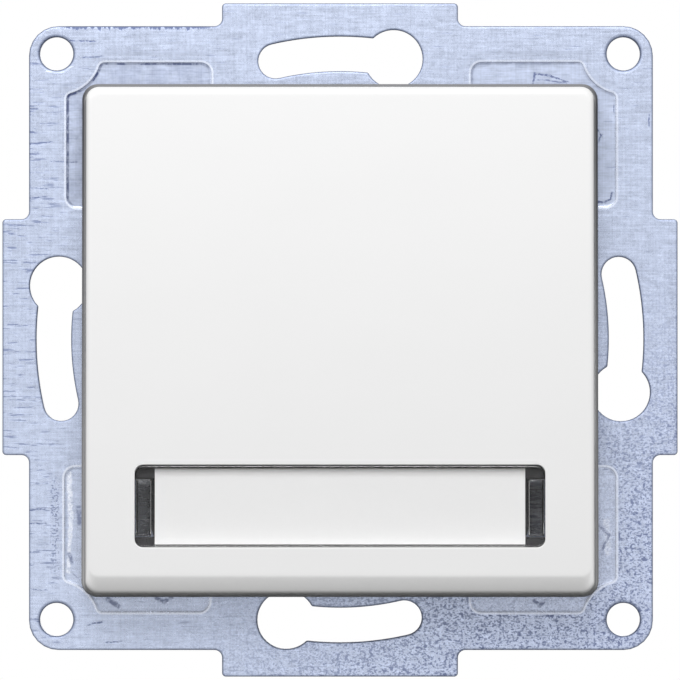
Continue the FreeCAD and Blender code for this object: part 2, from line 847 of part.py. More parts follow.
def contact_blade():
    """The strip that rocks on the knife edge, with a round groove for the edge."""
    blade = rounded_block(blade_width, 2 * blade_half_length, blade_corner_radius,
                          blade_axis_y - blade_thickness, blade_axis_y, z=pivot_z)
    hole = rod(contact_shank_radius + contact_shank_gap, blade_axis_y - blade_thickness, blade_axis_y,
               z=contact_z)
    groove = cross_rod(blade_groove_radius, -blade_width / 2, blade_width / 2, blade_axis_y, pivot_z)
    return at_open(blade.cut([hole, groove]))


def moving_contact():
    """The contact on the blade's upper end."""
    return at_open(contact_rivet(blade_axis_y + contact_thickness, contact_thickness, blade_thickness,
                                 -1, contact_z))


def fixed_contact():
    """The contact that the moving one meets."""
    return contact_rivet(fixed_contact_front_y, bridge_front_y - fixed_contact_front_y,
                         terminal_thickness, 1, contact_z)


def terminal_bar(side):
    """The bar that the wires are clamped against."""
    middle = side * (bar_inner + bar_outer) / 2
    return block(terminal_thickness, terminal_height, bridge_front_y, terminal_end, middle)


def common_terminal():
    """The left terminal, with the knife edge that carries the blade."""
    length = bar_outer + bridge_past_middle
    middle = (bridge_past_middle - bar_outer) / 2
    bridge = block(length, bridge_height, bridge_front_y, shelf_depth, middle, pivot_z)
    tip_y = bridge_front_y - knife_height
    start_x = -bridge_past_middle
    knife = extruded([vec(start_x, bridge_front_y, pivot_z - knife_width / 2),
                      vec(start_x, tip_y, pivot_z),
                      vec(start_x, bridge_front_y, pivot_z + knife_width / 2)],
                     vec(2 * bridge_past_middle, 0, 0))
    return terminal_bar(-1).fuse([bridge, knife]).removeSplitter()


def fixed_terminal():
    """The right terminal, whose bridge carries the fixed contact."""
    length = bar_outer + bridge_past_middle
    middle = (bar_outer - bridge_past_middle) / 2
    bridge = block(length, fixed_bridge_height, bridge_front_y, shelf_depth, middle, contact_z)
    hole = rod(contact_shank_radius + contact_shank_gap, bridge_front_y, shelf_depth, z=contact_z)
    return terminal_bar(1).fuse(bridge).cut(hole).removeSplitter()


def clamp_points(offset):
    """Points along the right clamp spring, beside its middle line by an offset."""
    wall_x = base_inside / 2 - clamp_wall_gap - clamp_thickness / 2
    turn = math.radians(clamp_bend_angle)
    centre = vec(wall_x - clamp_bend_radius, clamp_bend_depth, -clamp_width / 2)
    radius = clamp_bend_radius + offset

    def on_bend(angle):
        return centre + vec(radius * math.cos(angle), radius * math.sin(angle), 0)

    start = on_bend(0) - vec(0, clamp_fixed_leg, 0)
    leg_start = centre.x + clamp_bend_radius * math.cos(turn)
    tip_x = bar_outer + clamp_tip_gap + clamp_thickness / 2
    leg = (leg_start - tip_x) / math.sin(turn)
    end = on_bend(turn) + vec(-math.sin(turn), math.cos(turn), 0) * leg
    return start, on_bend(0), on_bend(turn / 2), on_bend(turn), end


def clamp_spring():
    """The bent steel strip that grips the wires, for the right side."""
    outer = clamp_points(clamp_thickness / 2)
    inner = clamp_points(-clamp_thickness / 2)
    edges = []
    for points in (outer, inner):
        start, bend_start, bend_middle, bend_end, end = points
        edges.append(Part.makeLine(start, bend_start))
        edges.append(Part.Arc(bend_start, bend_middle, bend_end).toShape())
        edges.append(Part.makeLine(bend_end, end))
    edges.append(Part.makeLine(outer[0], inner[0]))
    edges.append(Part.makeLine(outer[-1], inner[-1]))
    outline = Part.Wire(Part.__sortEdges__(edges))
    return Part.Face(outline).extrude(vec(0, 0, clamp_width))


def release_lever():
    """The push lever that opens the right clamp spring."""
    outer_x = wire_from_middle + lever_thickness / 2
    turn = math.radians(clamp_bend_angle)
    leg_start = clamp_points(0)[3]
    along = (leg_start.x - outer_x) / math.sin(turn)
    spring_y = leg_start.y + along * math.cos(turn) + clamp_thickness / 2 / math.sin(turn)
    front_y = spring_y + lever_to_spring
    end_y = cover_back_y + lever_proud
    lever = block(lever_thickness, lever_height, front_y, end_y, wire_from_middle)
    shoulder_end = base_depth - lever_stop_gap
    shoulder = block(lever_thickness, lever_height + 2 * lever_shoulder,
                     shoulder_end - lever_shoulder_depth, shoulder_end, wire_from_middle)
    groove = block(lever_thickness, lever_groove, end_y - lever_groove, end_y, wire_from_middle)
    return lever.fuse(shoulder).cut(groove).removeSplitter()


# Claws

def claw():
    """The right claw: a plate drawn by its screw, two toothed legs and its pin."""
    inner_x = claw_pivot_x - claw_thickness / 2
    outer_x = claw_hole().BoundBox.XMax + claw_hole_wall
    plate = block(outer_x - inner_x, claw_plate_height, claw_front_y, claw_front_y + claw_thickness,
                  (inner_x + outer_x) / 2)
    pieces = []
    for level in (-1, 1):
        leg_z = level * (claw_plate_height - claw_leg_height) / 2
        low_z = leg_z - claw_leg_height / 2
        pieces.append(block(claw_thickness, claw_leg_height, claw_front_y, claw_leg_end, claw_pivot_x,
                            leg_z))
        tooth_x = claw_pivot_x + claw_thickness / 2
        pieces.append(extruded([vec(tooth_x, claw_leg_end, low_z),
                                vec(tooth_x + claw_tooth, claw_leg_end, low_z),
                                vec(tooth_x, claw_leg_end - claw_tooth_length, low_z)],
                               vec(0, 0, claw_leg_height)))
    pin_half = claw_plate_height / 2 + claw_ear_gap + claw_ear_thickness
    pieces.append(upright_rod(claw_pin_radius, -pin_half, pin_half, claw_pivot_x, claw_pivot_depth))
    return plate.fuse(pieces).cut(claw_hole()).removeSplitter()


def claw_hole():
    """The long hole that lets the claw swing on its straight screw."""
    turn = math.radians(claw_open_angle)
    side = claw_screw_radius / math.cos(turn) + claw_thickness / 2 * math.tan(turn)
    near = claw_arm - claw_screw_radius - claw_hole_gap
    far = claw_arm / math.cos(turn) + side + claw_hole_gap
    height = 2 * (claw_screw_radius + claw_hole_gap)
    middle_x = claw_pivot_x + (near + far) / 2
    plain = block(far - near, height, claw_front_y, claw_front_y + claw_thickness, middle_x)
    return plain.makeFillet(height / 2 - same_place, depth_edges(plain))


def claw_screw():
    """The slotted screw on the right that draws the claw open."""
    x = claw_screw_from_middle
    head_y = ring_front - claw_head_height
    head = rod(claw_head_radius, head_y, ring_front, x)
    shank = rod(claw_screw_radius, ring_front, claw_screw_length, x)
    slot = block(2 * claw_head_radius, claw_screw_slot, head_y, head_y + claw_screw_slot_depth, x)
    tip_edge = [edge for edge in shank.Edges
                if abs(edge.CenterOfMass.y - claw_screw_length) < same_place]
    shank = shank.makeChamfer(claw_screw_chamfer, tip_edge)
    return head.fuse(shank).cut(slot).removeSplitter()


def claw_spring():
    """The coil round the right screw that folds the claw back."""
    radius = claw_screw_radius + claw_spring_gap + claw_spring_wire
    return coil(radius, claw_spring_wire, claw_spring_turns, seat_y, claw_front_y,
                claw_screw_from_middle)


save(support_ring(), "support_ring")
save(mechanism_frame(), "mechanism_frame")
save(mechanism_base(), "mechanism_base")
save(terminal_cover(), "terminal_cover")
save(ring_rivets(), "ring_rivets")
save(rocker(), "rocker")
save(rocker_cradle(), "rocker_cradle")
save(label_tray(), "label_tray")
save(label_card(), "label_card")
save(label_window(), "label_window")
save(return_spring(), "return_spring")
save(contact_plunger(), "contact_plunger")
save(plunger_spring(), "plunger_spring")
save(contact_blade(), "contact_blade")
save(moving_contact(), "moving_contact")
save(fixed_contact(), "fixed_contact")
save(common_terminal(), "common_terminal")
save(fixed_terminal(), "fixed_terminal")
for make, name in ((clamp_spring, "clamp_spring"), (release_lever, "release_lever"),
                   (claw, "claw"), (claw_screw, "claw_screw"), (claw_spring, "claw_spring")):
    piece = make()
    save(piece, name + "_right")
    save(mirrored(piece), name + "_left")
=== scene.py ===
"""The looks of a flush doorbell push button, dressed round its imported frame.

A galvanised support ring carries a white rocker with a name label under a clear
window. Behind the ring sit the moulded mechanism, its terminals and its claws.
Sizes are written in millimetres and turned into metres by MM.
"""
import json
import logging
import math
from dataclasses import dataclass, field
from enum import Enum
from typing import Callable, Iterable, Union

import bmesh
import bpy
from mathutils import Color, Matrix, Vector
from mathutils.geometry import tessellate_polygon

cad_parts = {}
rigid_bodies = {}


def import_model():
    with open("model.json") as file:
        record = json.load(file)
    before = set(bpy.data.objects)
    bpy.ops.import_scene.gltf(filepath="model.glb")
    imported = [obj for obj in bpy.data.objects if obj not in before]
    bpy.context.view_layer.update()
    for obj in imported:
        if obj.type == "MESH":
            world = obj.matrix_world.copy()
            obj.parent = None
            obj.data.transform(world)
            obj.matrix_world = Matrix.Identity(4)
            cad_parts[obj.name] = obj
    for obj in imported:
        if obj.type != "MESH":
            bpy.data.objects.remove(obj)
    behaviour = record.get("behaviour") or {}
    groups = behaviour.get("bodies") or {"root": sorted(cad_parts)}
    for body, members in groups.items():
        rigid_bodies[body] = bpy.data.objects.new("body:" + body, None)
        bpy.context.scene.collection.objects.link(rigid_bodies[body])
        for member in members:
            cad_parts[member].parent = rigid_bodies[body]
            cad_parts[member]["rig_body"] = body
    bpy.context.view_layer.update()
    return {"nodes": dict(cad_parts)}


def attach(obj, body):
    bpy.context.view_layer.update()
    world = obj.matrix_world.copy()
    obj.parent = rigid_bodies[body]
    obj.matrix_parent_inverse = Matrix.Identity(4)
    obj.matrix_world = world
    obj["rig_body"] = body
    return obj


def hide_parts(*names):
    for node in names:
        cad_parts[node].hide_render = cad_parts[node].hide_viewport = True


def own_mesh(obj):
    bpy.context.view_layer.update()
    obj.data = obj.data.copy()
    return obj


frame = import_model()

MM = 0.001

# Small lengths: MERGED is in metres, SAME_PLACE in millimetres and TINY is nothing in either
TINY = 1e-7
MERGED = 1e-6
SAME_PLACE = 1e-4

FLAT_ANGLE = 0.5
MILLIMETRES_IN_METRE = 1000.0
SUDDEN = 1e4
AVERAGE = 0.5
WHOLE_TURN = 2 * math.pi

# Places that several pieces share, in millimetres, and the sides that pairs of pieces lie on
RING_FRONT = -1.2
RIVET_X, RIVET_Z = 11.5, 21.45
CLAW_X = 23.6
SIDES = {"left": -1, "right": 1}

# A rounded edge: how far out of the hole or body and how deep its stations lie, by its radius
ROUND_EDGE = ((1.0, 0.0), (0.5, 0.134), (0.134, 0.5), (0.0, 1.0))
RIM_MARGIN = 2.2

Point = tuple[float, float]
Ramp = tuple[float, float]
Numbers = tuple[float, float, float]
Loop = list[Point]
Value = Union["Field", float]

log = logging.getLogger("push_button")


# Colours and sockets


def linear(code: str) -> tuple[float, float, float, float]:
    """Turn a display colour into the linear one that shaders take.

    Args:
        code: The colour as a hash sign and six digits.

    Returns:
        Red, green, blue and a full alpha.
    """
    red, green, blue = (Color([int(code[i:i + 2], 16) / 255 for i in (1, 3, 5)])
                        .from_srgb_to_scene_linear())
    return red, green, blue, 1.0


def between_two(operation: str, reflected: bool = False) -> Callable[["Field", "Value"], "Field"]:
    """Make a method of Field that puts a Math node between a field and another value.

    Args:
        operation: The node's operation.
        reflected: Whether the other value comes first.

    Returns:
        The method.
    """
    def method(self: "Field", other: "Value") -> "Field":
        """The Math node's result."""
        return self.sum_node(operation, *((other, self) if reflected else (self, other)))
    return method


class Field:
    """A node's output that can be added, multiplied and compared in Python."""

    __add__ = between_two("ADD")
    __radd__ = between_two("ADD", reflected=True)
    __sub__ = between_two("SUBTRACT")
    __rsub__ = between_two("SUBTRACT", reflected=True)
    __mul__ = between_two("MULTIPLY")
    __rmul__ = between_two("MULTIPLY", reflected=True)
    __truediv__ = between_two("DIVIDE")
    __rtruediv__ = between_two("DIVIDE", reflected=True)
    __mod__ = between_two("FLOORED_MODULO")
    __rmod__ = between_two("FLOORED_MODULO", reflected=True)
    least = between_two("MINIMUM")
    most = between_two("MAXIMUM")

    def __init__(self, tree: bpy.types.NodeTree, socket: bpy.types.NodeSocket) -> None:
        """Keep the tree and the socket."""
        self.tree = tree
        self.socket = socket

    def sum_node(self, operation: str, *values: "Value") -> "Field":
        """A Math node's result.

        Args:
            operation: The node's operation.
            values: Numbers or fields, in the order of its inputs.

        Returns:
            The node's output.
        """
        node = self.tree.nodes.new("ShaderNodeMath")
        node.operation = operation
        for socket, value in zip(node.inputs, values):
            connect(self.tree, socket, value)
        return Field(self.tree, node.outputs[0])

    def __neg__(self) -> "Field":
        """This with the other sign."""
        return self.sum_node("MULTIPLY", self, -1.0)

    def __abs__(self) -> "Field":
        """This without its sign."""
        return self.sum_node("ABSOLUTE", self)

    def sine(self) -> "Field":
        """The sine of this."""
        return self.sum_node("SINE", self)

    def cosine(self) -> "Field":
        """The cosine of this."""
        return self.sum_node("COSINE", self)

    def step(self, low: float, high: float) -> "Field":
        """A soft step.

        Args:
            low: Where the step starts, at 0.
            high: Where it ends, at 1. It may lie below low.

        Returns:
            A field from 0 to 1.
        """
        node = self.tree.nodes.new("ShaderNodeMapRange")
        node.interpolation_type = "SMOOTHSTEP"
        values = (self, low, high, 0.0, 1.0) if low < high else (self, high, low, 1.0, 0.0)
        for socket, value in zip(node.inputs, values):
            connect(self.tree, socket, value)
        return Field(self.tree, node.outputs[0])

    def band(self, near: Ramp, far: Ramp) -> "Field":
        """1 between two soft steps, and 0 outside them."""
        return self.step(*near) * self.step(*far)


def connect(tree: bpy.types.NodeTree, socket: bpy.types.NodeSocket, value: object) -> None:
    """Link a field to a socket, or set the socket's own value.

    Args:
        tree: The tree that holds the socket.
        socket: The input.
        value: A field, or what the input is set to.
    """
    if isinstance(value, Field):
        tree.links.new(value.socket, socket)
    else:
        socket.default_value = value


@dataclass(frozen=True)
class Pattern:
    """A cloudy pattern that lies through a piece.

    It has stretch features per millimetre along each axis, finer layers by detail and roughness,
    a shift that keeps like patterns apart, its strength, and a ramp between bare and marked.
    """

    stretch: Numbers
    detail: float = 2.0
    roughness: float = 0.5
    shift: float = 0.0
    strength: float = 1.0
    ramp: Ramp = (0.0, 1.0)


class Board:
    """A node tree and the short calls that fill it."""

    def __init__(self, tree: bpy.types.NodeTree) -> None:
        """Start on a tree."""
        self.tree = tree

    def add(self, kind: str, settings: dict[str, object] | None = None,
            inputs: dict[str | int, object] | None = None, output: str | int = 0) -> Field:
        """Add any node.

        Args:
            kind: The node's type.
            settings: What is set on the node first, such as its operation.
            inputs: Values or fields of its sockets, by name or number.
            output: The socket that is wanted, by name or number.

        Returns:
            The wanted output.
        """
        node = self.tree.nodes.new(kind)
        for name, value in (settings or {}).items():
            setattr(node, name, value)
        for name, value in (inputs or {}).items():
            connect(self.tree, node.inputs[name], value)
        return Field(self.tree, node.outputs[output])

    def place(self) -> Field:
        """The point on the piece, in millimetres.

        Returns:
            The point as a vector.
        """
        point = self.add("ShaderNodeTexCoord", output="Object")
        return self.add("ShaderNodeVectorMath", {"operation": "SCALE"},
                        {0: point, "Scale": MILLIMETRES_IN_METRE})

    def split(self, vector: Field) -> tuple[Field, Field, Field]:
        """The three parts of a vector.

        Args:
            vector: The vector.

        Returns:
            Across, deep and upward.
        """
        node = self.tree.nodes.new("ShaderNodeSeparateXYZ")
        self.tree.links.new(vector.socket, node.inputs[0])
        return tuple(Field(self.tree, socket) for socket in node.outputs)

    def noise(self, point: Field, pattern: Pattern) -> Field:
        """A cloudy pattern.

        Args:
            point: The point, in millimetres.
            pattern: The pattern.

        Returns:
            A field from 0 to 1, about 0.5 on average.
        """
        moved = self.add("ShaderNodeMapping", inputs={
            "Vector": point, "Location": (pattern.shift,) * 3, "Scale": pattern.stretch})
        return self.add("ShaderNodeTexNoise", {"noise_dimensions": "3D"}, {
            "Vector": moved, "Scale": 1.0, "Detail": pattern.detail, "Roughness": pattern.roughness})

    def swing(self, point: Field, pattern: Pattern) -> Field:
        """A pattern about 0, at its strength."""
        return (self.noise(point, pattern) - AVERAGE) * pattern.strength

    def patches(self, point: Field, pattern: Pattern) -> Field:
        """Patches of a pattern's strength where it passes its ramp, on bare 0."""
        return self.noise(point, pattern).step(*pattern.ramp) * pattern.strength

    def mix(self, factor: Value, first: object, second: object) -> Field:
        """One colour turning into another.

        Args:
            factor: 0 gives the first colour and 1 the second.
            first: A colour or a field.
            second: A colour or a field.

        Returns:
            The mixed colour.
        """
        return self.add("ShaderNodeMix", {"data_type": "RGBA"}, {0: factor, 6: first, 7: second}, 2)

    def shade(self, colour: object, factor: Field) -> Field:
        """A colour made darker or lighter."""
        base = colour if isinstance(colour, Field) else colour[:3]
        return self.add("ShaderNodeVectorMath", {"operation": "SCALE"}, {0: base, "Scale": factor})

    def attribute(self, name: str) -> Field:
        """A number that the mesh holds at each point."""
        return self.add("ShaderNodeAttribute", {"attribute_name": name}, output="Fac")

    def bump(self, height: Field, depth: float) -> Field:
        """A bumped surface.

        Args:
            height: The height, about 0 to 1.
            depth: How deep the bumps are, in millimetres.

        Returns:
            The normal.
        """
        return self.add("ShaderNodeBump", inputs={
            "Strength": 1.0, "Distance": depth * MM, "Height": height}, output="Normal")


# Finishes


Painted = dict[str, object]


@dataclass(frozen=True)
class Finish:
    """What every finish has: its slot, its colour and its gloss."""

    slot: str
    colour: str
    roughness: float = 0.4
    metallic: float = 0.0
    coat: float = 0.0

    def paint(self, board: Board) -> Painted:
        """What varies over the surface, by the name of the shader's socket."""
        return {"Base Color": linear(self.colour)}

    def material(self) -> bpy.types.Material:
        """Make the material, or find the one made before.

        Returns:
            The material.
        """
        title = self.slot + "_finish"
        known = bpy.data.materials.get(title)
        if known:
            return known
        made = bpy.data.materials.new(title)
        made.use_nodes = True
        made.node_tree.nodes.clear()
        board = Board(made.node_tree)
        values: Painted = {"Roughness": self.roughness, "Metallic": self.metallic,
                           "Coat Weight": self.coat}
        values.update(self.paint(board))
        shader = board.add("ShaderNodeBsdfPrincipled", inputs=values)
        self.finish_tree(board, shader)
        return made

    def finish_tree(self, board: Board, shader: Field) -> None:
        """Join the shader to the output."""
        output(board, shader)


def output(board: Board, shader: Field, kind: str = "ShaderNodeOutputMaterial") -> None:
    """Join a shader to a new output."""
    node = board.tree.nodes.new(kind)
    board.tree.links.new(shader.socket, node.inputs["Surface"])


@dataclass(frozen=True)
class Scrape:
    """A scratch in the ring's zinc, or a painted highlight streak, from one place to another."""

    start: Point
    end: Point
    width: float
    strength: float = 1.0
    tip: Ramp = (0.3, 0.0)
    core: float = 0.35
    straying: float = 0.8
    least_straying: float = 0.25

    def sway(self) -> float:
        """How far its line wanders to the sides."""
        return self.straying * self.width + self.least_straying

    def flank(self) -> Ramp:
        """From where to where beside its line it sets in."""
        return self.width, self.core * self.width


@dataclass(frozen=True)
class GalvanisedSheet(Finish):
    """Rolled zinc-coated sheet: streaks, specks, dark cut edges and painted shading of pressed lines.

    It gets more speckled, and darker by painted shade, along the fall from upper left to lower right.
    Zones say from where to where something sets in.
    """

    # Colours: painted shade along the fall, stains that also serve as painted shade on the pressed lines, cut
    # edges, and painted highlights
    shadow_colour: str = "#aeb7ce"
    stain_and_shade_colour: str = "#37446e"
    edge_colour: str = "#58637f"
    highlight_colour: str = "#eef2fc"
    scrapes: tuple[Scrape, ...] = ()
    glints: tuple[Scrape, ...] = ()
    streaks: Pattern = Pattern((0.3, 1.0, 5.0), 4.0, 0.65, strength=0.72)
    hatch: Pattern = Pattern((6.0, 1.0, 0.12), 3.0, 0.6, 7.0, 0.36)
    clouds: Pattern = Pattern((0.10, 0.1, 0.14), 3.0, 0.5, 3.0, 0.9)
    grain: Pattern = Pattern((4.0, 4.0, 4.0), 2.0, 0.6, 11.0, 0.1)
    blotches: Pattern = Pattern((0.9, 0.9, 1.3), 2.0, 0.5, 19.0, 0.4)
    specks: Pattern = Pattern((2.3, 2.3, 2.8), 1.0, 0.5, 17.0, 0.95, (0.58, 0.68))
    dots: Pattern = Pattern((4.6, 4.6, 6.6), 1.0, 0.5, 27.0, 0.8, (0.48, 0.64))
    bands: Pattern = Pattern((0.45, 1.0, 3.6), 3.0, 0.6, 23.0, 0.8, (0.62, 0.7))
    loose: Pattern = Pattern((0.4, 1.0, 5.2), 2.0, 0.5, 41.0, 0.5, (0.64, 0.75))
    ragged: Pattern = Pattern((2.4, 1.0, 0.4), 3.0, 0.7, 37.0, 1.5)
    broken: Pattern = Pattern((0.8, 0.8, 0.8), 3.0, 0.7, 5.0, 0.75, (0.4, 0.58))
    wander: Pattern = Pattern((1.8, 1.8, 1.8), 3.0, 0.7, 31.0)
    worn: Pattern = Pattern((3.2, 3.2, 3.2), 2.0, 0.6, 33.0, 0.7, (0.36, 0.56))
    fall: Point = (0.82 / 71.0, -1.12 / 71.0)
    front_zone: Ramp = (-0.5, -0.8)
    tone_zone: Ramp = (0.1, 1.0)
    mottled_zone: Ramp = (0.1, 0.6)
    mottled_least: float = 0.18
    mottled_gain: float = 0.45
    # Painted light that lifts the sheet, and more of it per millimetre further down
    brightness: float = 1.03
    painted_lift_down: float = 0.0042
    speckled_zone: Ramp = (0.15, 0.7)
    spared: tuple[float, float] = (5.0, 0.8)
    left_zone: Ramp = (-26.5, -31.5)
    left_gain: float = 0.05
    # The ragged dark line on the upper edge: a sheared edge with its painted shadow
    burr_shadow_zone: Ramp = (32.64, 32.85)
    burr_shadow_ends: tuple[Ramp, Ramp] = ((-29.8, -28.5), (-12.0, -15.0))
    stippled_ramp: Ramp = (0.52, 0.6)
    stippled_across: tuple[Ramp, Ramp] = ((-30.6, -30.3), (-29.4, -29.7))
    stippled_upward: tuple[Ramp, Ramp] = ((-14.0, -15.0), (-24.8, -24.2))
    glint_share: float = 0.75
    stain_share: float = 0.8
    line_share: float = 0.75
    edge_share: float = 0.9
    pressed_gain: float = 2.5
    mark_dulls: float = 0.15
    edge_dulls: float = 0.3
    edge_tarnish: float = 0.6
    # How much shine the painted shade lines lose so that they stay dark
    shade_line_dulling: float = 0.75
    heights: tuple[float, float, float, float] = (0.35, 0.08, 0.12, 0.5)
    bump_depth: float = 0.004

    def scraped(self, board: Board, x: Field, z: Field, scrapes: tuple[Scrape, ...]) -> Field:
        """Where scrapes, or painted highlight streaks, lie.

        Args:
            board: The tree.
            x: Places across.
            z: Places upward.
            scrapes: The scrapes, at least one.

        Returns:
            0 on plain zinc and up to 1 in a scrape.
        """
        wander = board.swing(board.place(), self.wander)
        total: Value = 0.0
        for scrape in scrapes:
            start, end = Vector(scrape.start), Vector(scrape.end)
            length = (end - start).length
            ux, uz = (end - start) / length
            along = (x - start.x) * ux + (z - start.y) * uz
            beside = (x - start.x) * uz - (z - start.y) * ux + wander * scrape.sway()
            past = (-along).most(along - length)
            mark = abs(beside).step(*scrape.flank()) * past.step(*scrape.tip)
            total = (mark * scrape.strength).most(total)
        return total * (board.patches(board.place(), self.worn) + (1.0 - self.worn.strength))

    def wear(self, board: Board, point: Field, corner: Field, painted_shading: Field) -> Field:
        """Where the zinc is stained: specks, streaks, scrapes, and a sheared upper edge drawn dark with
        painted shadow.

        Args:
            board: The tree.
            point: The point on the piece.
            corner: How far along the fall it is.
            painted_shading: How light or dark the pressed lines are drawn.

        Returns:
            0 on plain zinc and up to 1 in a mark.
        """
        x, y, z = board.split(point)
        front = y.step(*self.front_zone)
        dots = board.noise(point, self.dots)
        gain, most = self.spared
        speckled = corner.step(*self.speckled_zone) * (1.0 - (painted_shading * gain).most(0.0).least(most))
        fine = dots.step(*self.dots.ramp) * self.dots.strength
        speck = fine.most(board.patches(point, self.specks)) * speckled
        left = x.step(*self.left_zone)
        lines = board.noise(point, self.bands) + left * self.left_gain
        streak = lines.step(*self.bands.ramp) * left * self.bands.strength
        # A ragged dark line on the upper edge: the sheared edge and its painted shadow
        burr_and_shadow = (z + board.swing(point, self.ragged)).step(*self.burr_shadow_zone) * x.band(*self.burr_shadow_ends)
        column = x.band(*self.stippled_across) * z.band(*self.stippled_upward)
        stipple = dots.step(*self.stippled_ramp) * column * self.dots.strength
        marks = speck.most(streak).most(board.patches(point, self.loose))
        marks = marks.most(burr_and_shadow * front).most(stipple * front)
        return marks.most(self.scraped(board, x, z, self.scrapes) * front)

    def paint(self, board: Board) -> Painted:
        """The zinc's colour with its painted light and shade, its roughness and its bumps.

        Args:
            board: The material's tree.

        Returns:
            The varying values, by the name of the shader's socket.
        """
        point = board.place()
        x, y, z = board.split(point)
        corner = x * self.fall[0] + z * self.fall[1]
        streaks, grain = board.noise(point, self.streaks), board.noise(point, self.grain)
        # Painted shade: the tone turns towards the shadow colour along the fall to the lower right
        tone = (corner + board.swing(point, self.clouds)).step(*self.tone_zone)
        base = board.mix(tone, linear(self.colour), linear(self.shadow_colour))
        mottled = corner.step(*self.mottled_zone) * self.mottled_gain + self.mottled_least
        # Painted light: the last term lifts the sheet and makes it lighter towards the bottom
        light = ((streaks - AVERAGE) * self.streaks.strength + board.swing(point, self.hatch)
                 + (grain - AVERAGE) * mottled + board.swing(point, self.blotches)
                 + (self.brightness - z * self.painted_lift_down))
        base = board.shade(base, light)
        # The mesh's mark: painted light above 0 and painted shade below 0
        painted_shading = board.attribute("painted_shading")
        marks = self.wear(board, point, corner, painted_shading)
        # Painted highlights along the glints
        glint = self.scraped(board, x, z, self.glints) * y.step(*self.front_zone) * (1.0 - marks)
        base = board.mix(glint * self.glint_share, base, linear(self.highlight_colour))
        base = board.mix(marks * self.stain_share, base, linear(self.stain_and_shade_colour))
        # Painted shade in broken dashes where that mark is below 0, and painted highlight where it is above 0
        broken = board.patches(point, self.broken) + (1.0 - self.broken.strength)
        base = board.mix((-painted_shading).most(0.0) * broken, base, linear(self.stain_and_shade_colour))
        base = board.mix(painted_shading.most(0.0) * self.line_share, base, linear(self.highlight_colour))
        edge = board.attribute("edge")
        base = board.mix(edge * self.edge_share, base, linear(self.edge_colour))
        # Where painted shade lines lie the metal is duller and less metallic, so that they stay dark
        pressed = (-painted_shading * self.pressed_gain).most(0.0).least(1.0)
        rough = ((grain - AVERAGE) * self.grain.strength + self.roughness + marks * self.mark_dulls
                 + edge.most(pressed) * self.edge_dulls)
        by_streak, by_grain, by_speck, by_mark = self.heights
        height = (streaks * by_streak + grain * by_grain
                  + board.noise(point, self.specks) * by_speck - marks * by_mark)
        tarnished = (edge * self.edge_tarnish).most(pressed * self.shade_line_dulling)
        return {"Base Color": base, "Roughness": rough, "Metallic": self.metallic * (1.0 - tarnished),
                "Normal": board.bump(height, self.bump_depth)}


@dataclass(frozen=True)
class MouldedPlastic(Finish):
    """Injection-moulded plastic with a faint cloud, a fine grain and a soft sheen."""

    grain: float = 0.004
    cloud: float = 0.04
    gleam: float = 0.5
    flow: Pattern = Pattern((0.08, 0.08, 0.16), 2.0, 0.5, 2.0, 0.08)
    fine: Pattern = Pattern((9.0, 9.0, 9.0), 2.0, 0.55, 9.0)
    scuffs: Pattern = Pattern((0.9, 0.9, 6.0), 3.0, 0.6, 13.0, 0.05, (0.66, 0.8))
    fine_share: float = 0.5

    def paint(self, board: Board) -> Painted:
        """The plastic's colour, roughness and grain.

        Args:
            board: The material's tree.

        Returns:
            The varying values, by the name of the shader's socket.
        """
        point = board.place()
        flow, fine = board.noise(point, self.flow) - AVERAGE, board.noise(point, self.fine)
        light = flow * self.cloud + (fine - AVERAGE) * (self.fine_share * self.cloud) + 1.0
        rough = flow * self.flow.strength + board.patches(point, self.scuffs) + self.roughness
        return {"Base Color": board.shade(linear(self.colour), light), "Roughness": rough,
                "Specular IOR Level": self.gleam, "Normal": board.bump(fine, self.grain)}


@dataclass(frozen=True)
class RockerPlastic(MouldedPlastic):
    """Gloss plastic with matt side walls and a thin painted shadow line along the skirt."""

    wall_roughness: float = 0.9
    skirt_shadow_colour: str = "#4a4b50"

    def paint(self, board: Board) -> Painted:
        """The plastic, glossy on the face, matt on the walls, with painted shadow on the skirt's lip.

        Args:
            board: The material's tree.

        Returns:
            The varying values, by the name of the shader's socket.
        """
        values = super().paint(board)
        wall = board.attribute("edge")
        # Painted shadow on the skirt's lip, where the rocker's mark is below 0
        skirt_shadow = (-board.attribute("painted_shading")).most(0.0)
        values["Roughness"] = values["Roughness"] + wall * (self.wall_roughness - self.roughness)
        values["Base Color"] = board.mix(skirt_shadow, values["Base Color"], linear(self.skirt_shadow_colour))
        return values


@dataclass(frozen=True)
class RolledMetal(Finish):
    """Strip or wire with fine drawing lines, slight tarnish and small marks."""

    tarnish: str = "#8a7a58"
    lines: Numbers = (5.0, 0.4, 5.0)
    patches: Pattern = Pattern((0.35, 0.35, 0.35), 3.0, 0.6, 6.0, 0.5, (0.5, 0.72))
    uneven: float = 0.25
    worn: float = 0.2
    dulled: float = 0.12
    bump_depth: float = 0.006

    def paint(self, board: Board) -> Painted:
        """The metal's colour, roughness and drawing lines.

        Args:
            board: The material's tree.

        Returns:
            The varying values, by the name of the shader's socket.
        """
        point = board.place()
        drawn = board.noise(point, Pattern(self.lines, 3.0, 0.6, 4.0))
        patches = board.noise(point, self.patches)
        tarnished = patches.step(*self.patches.ramp) * self.patches.strength
        base = board.mix(tarnished, linear(self.colour), linear(self.tarnish))
        light = (drawn - AVERAGE) * self.uneven + 1.0
        rough = (drawn - AVERAGE) * self.worn + patches * self.dulled + self.roughness
        return {"Base Color": board.shade(base, light), "Roughness": rough,
                "Normal": board.bump(drawn, self.bump_depth)}


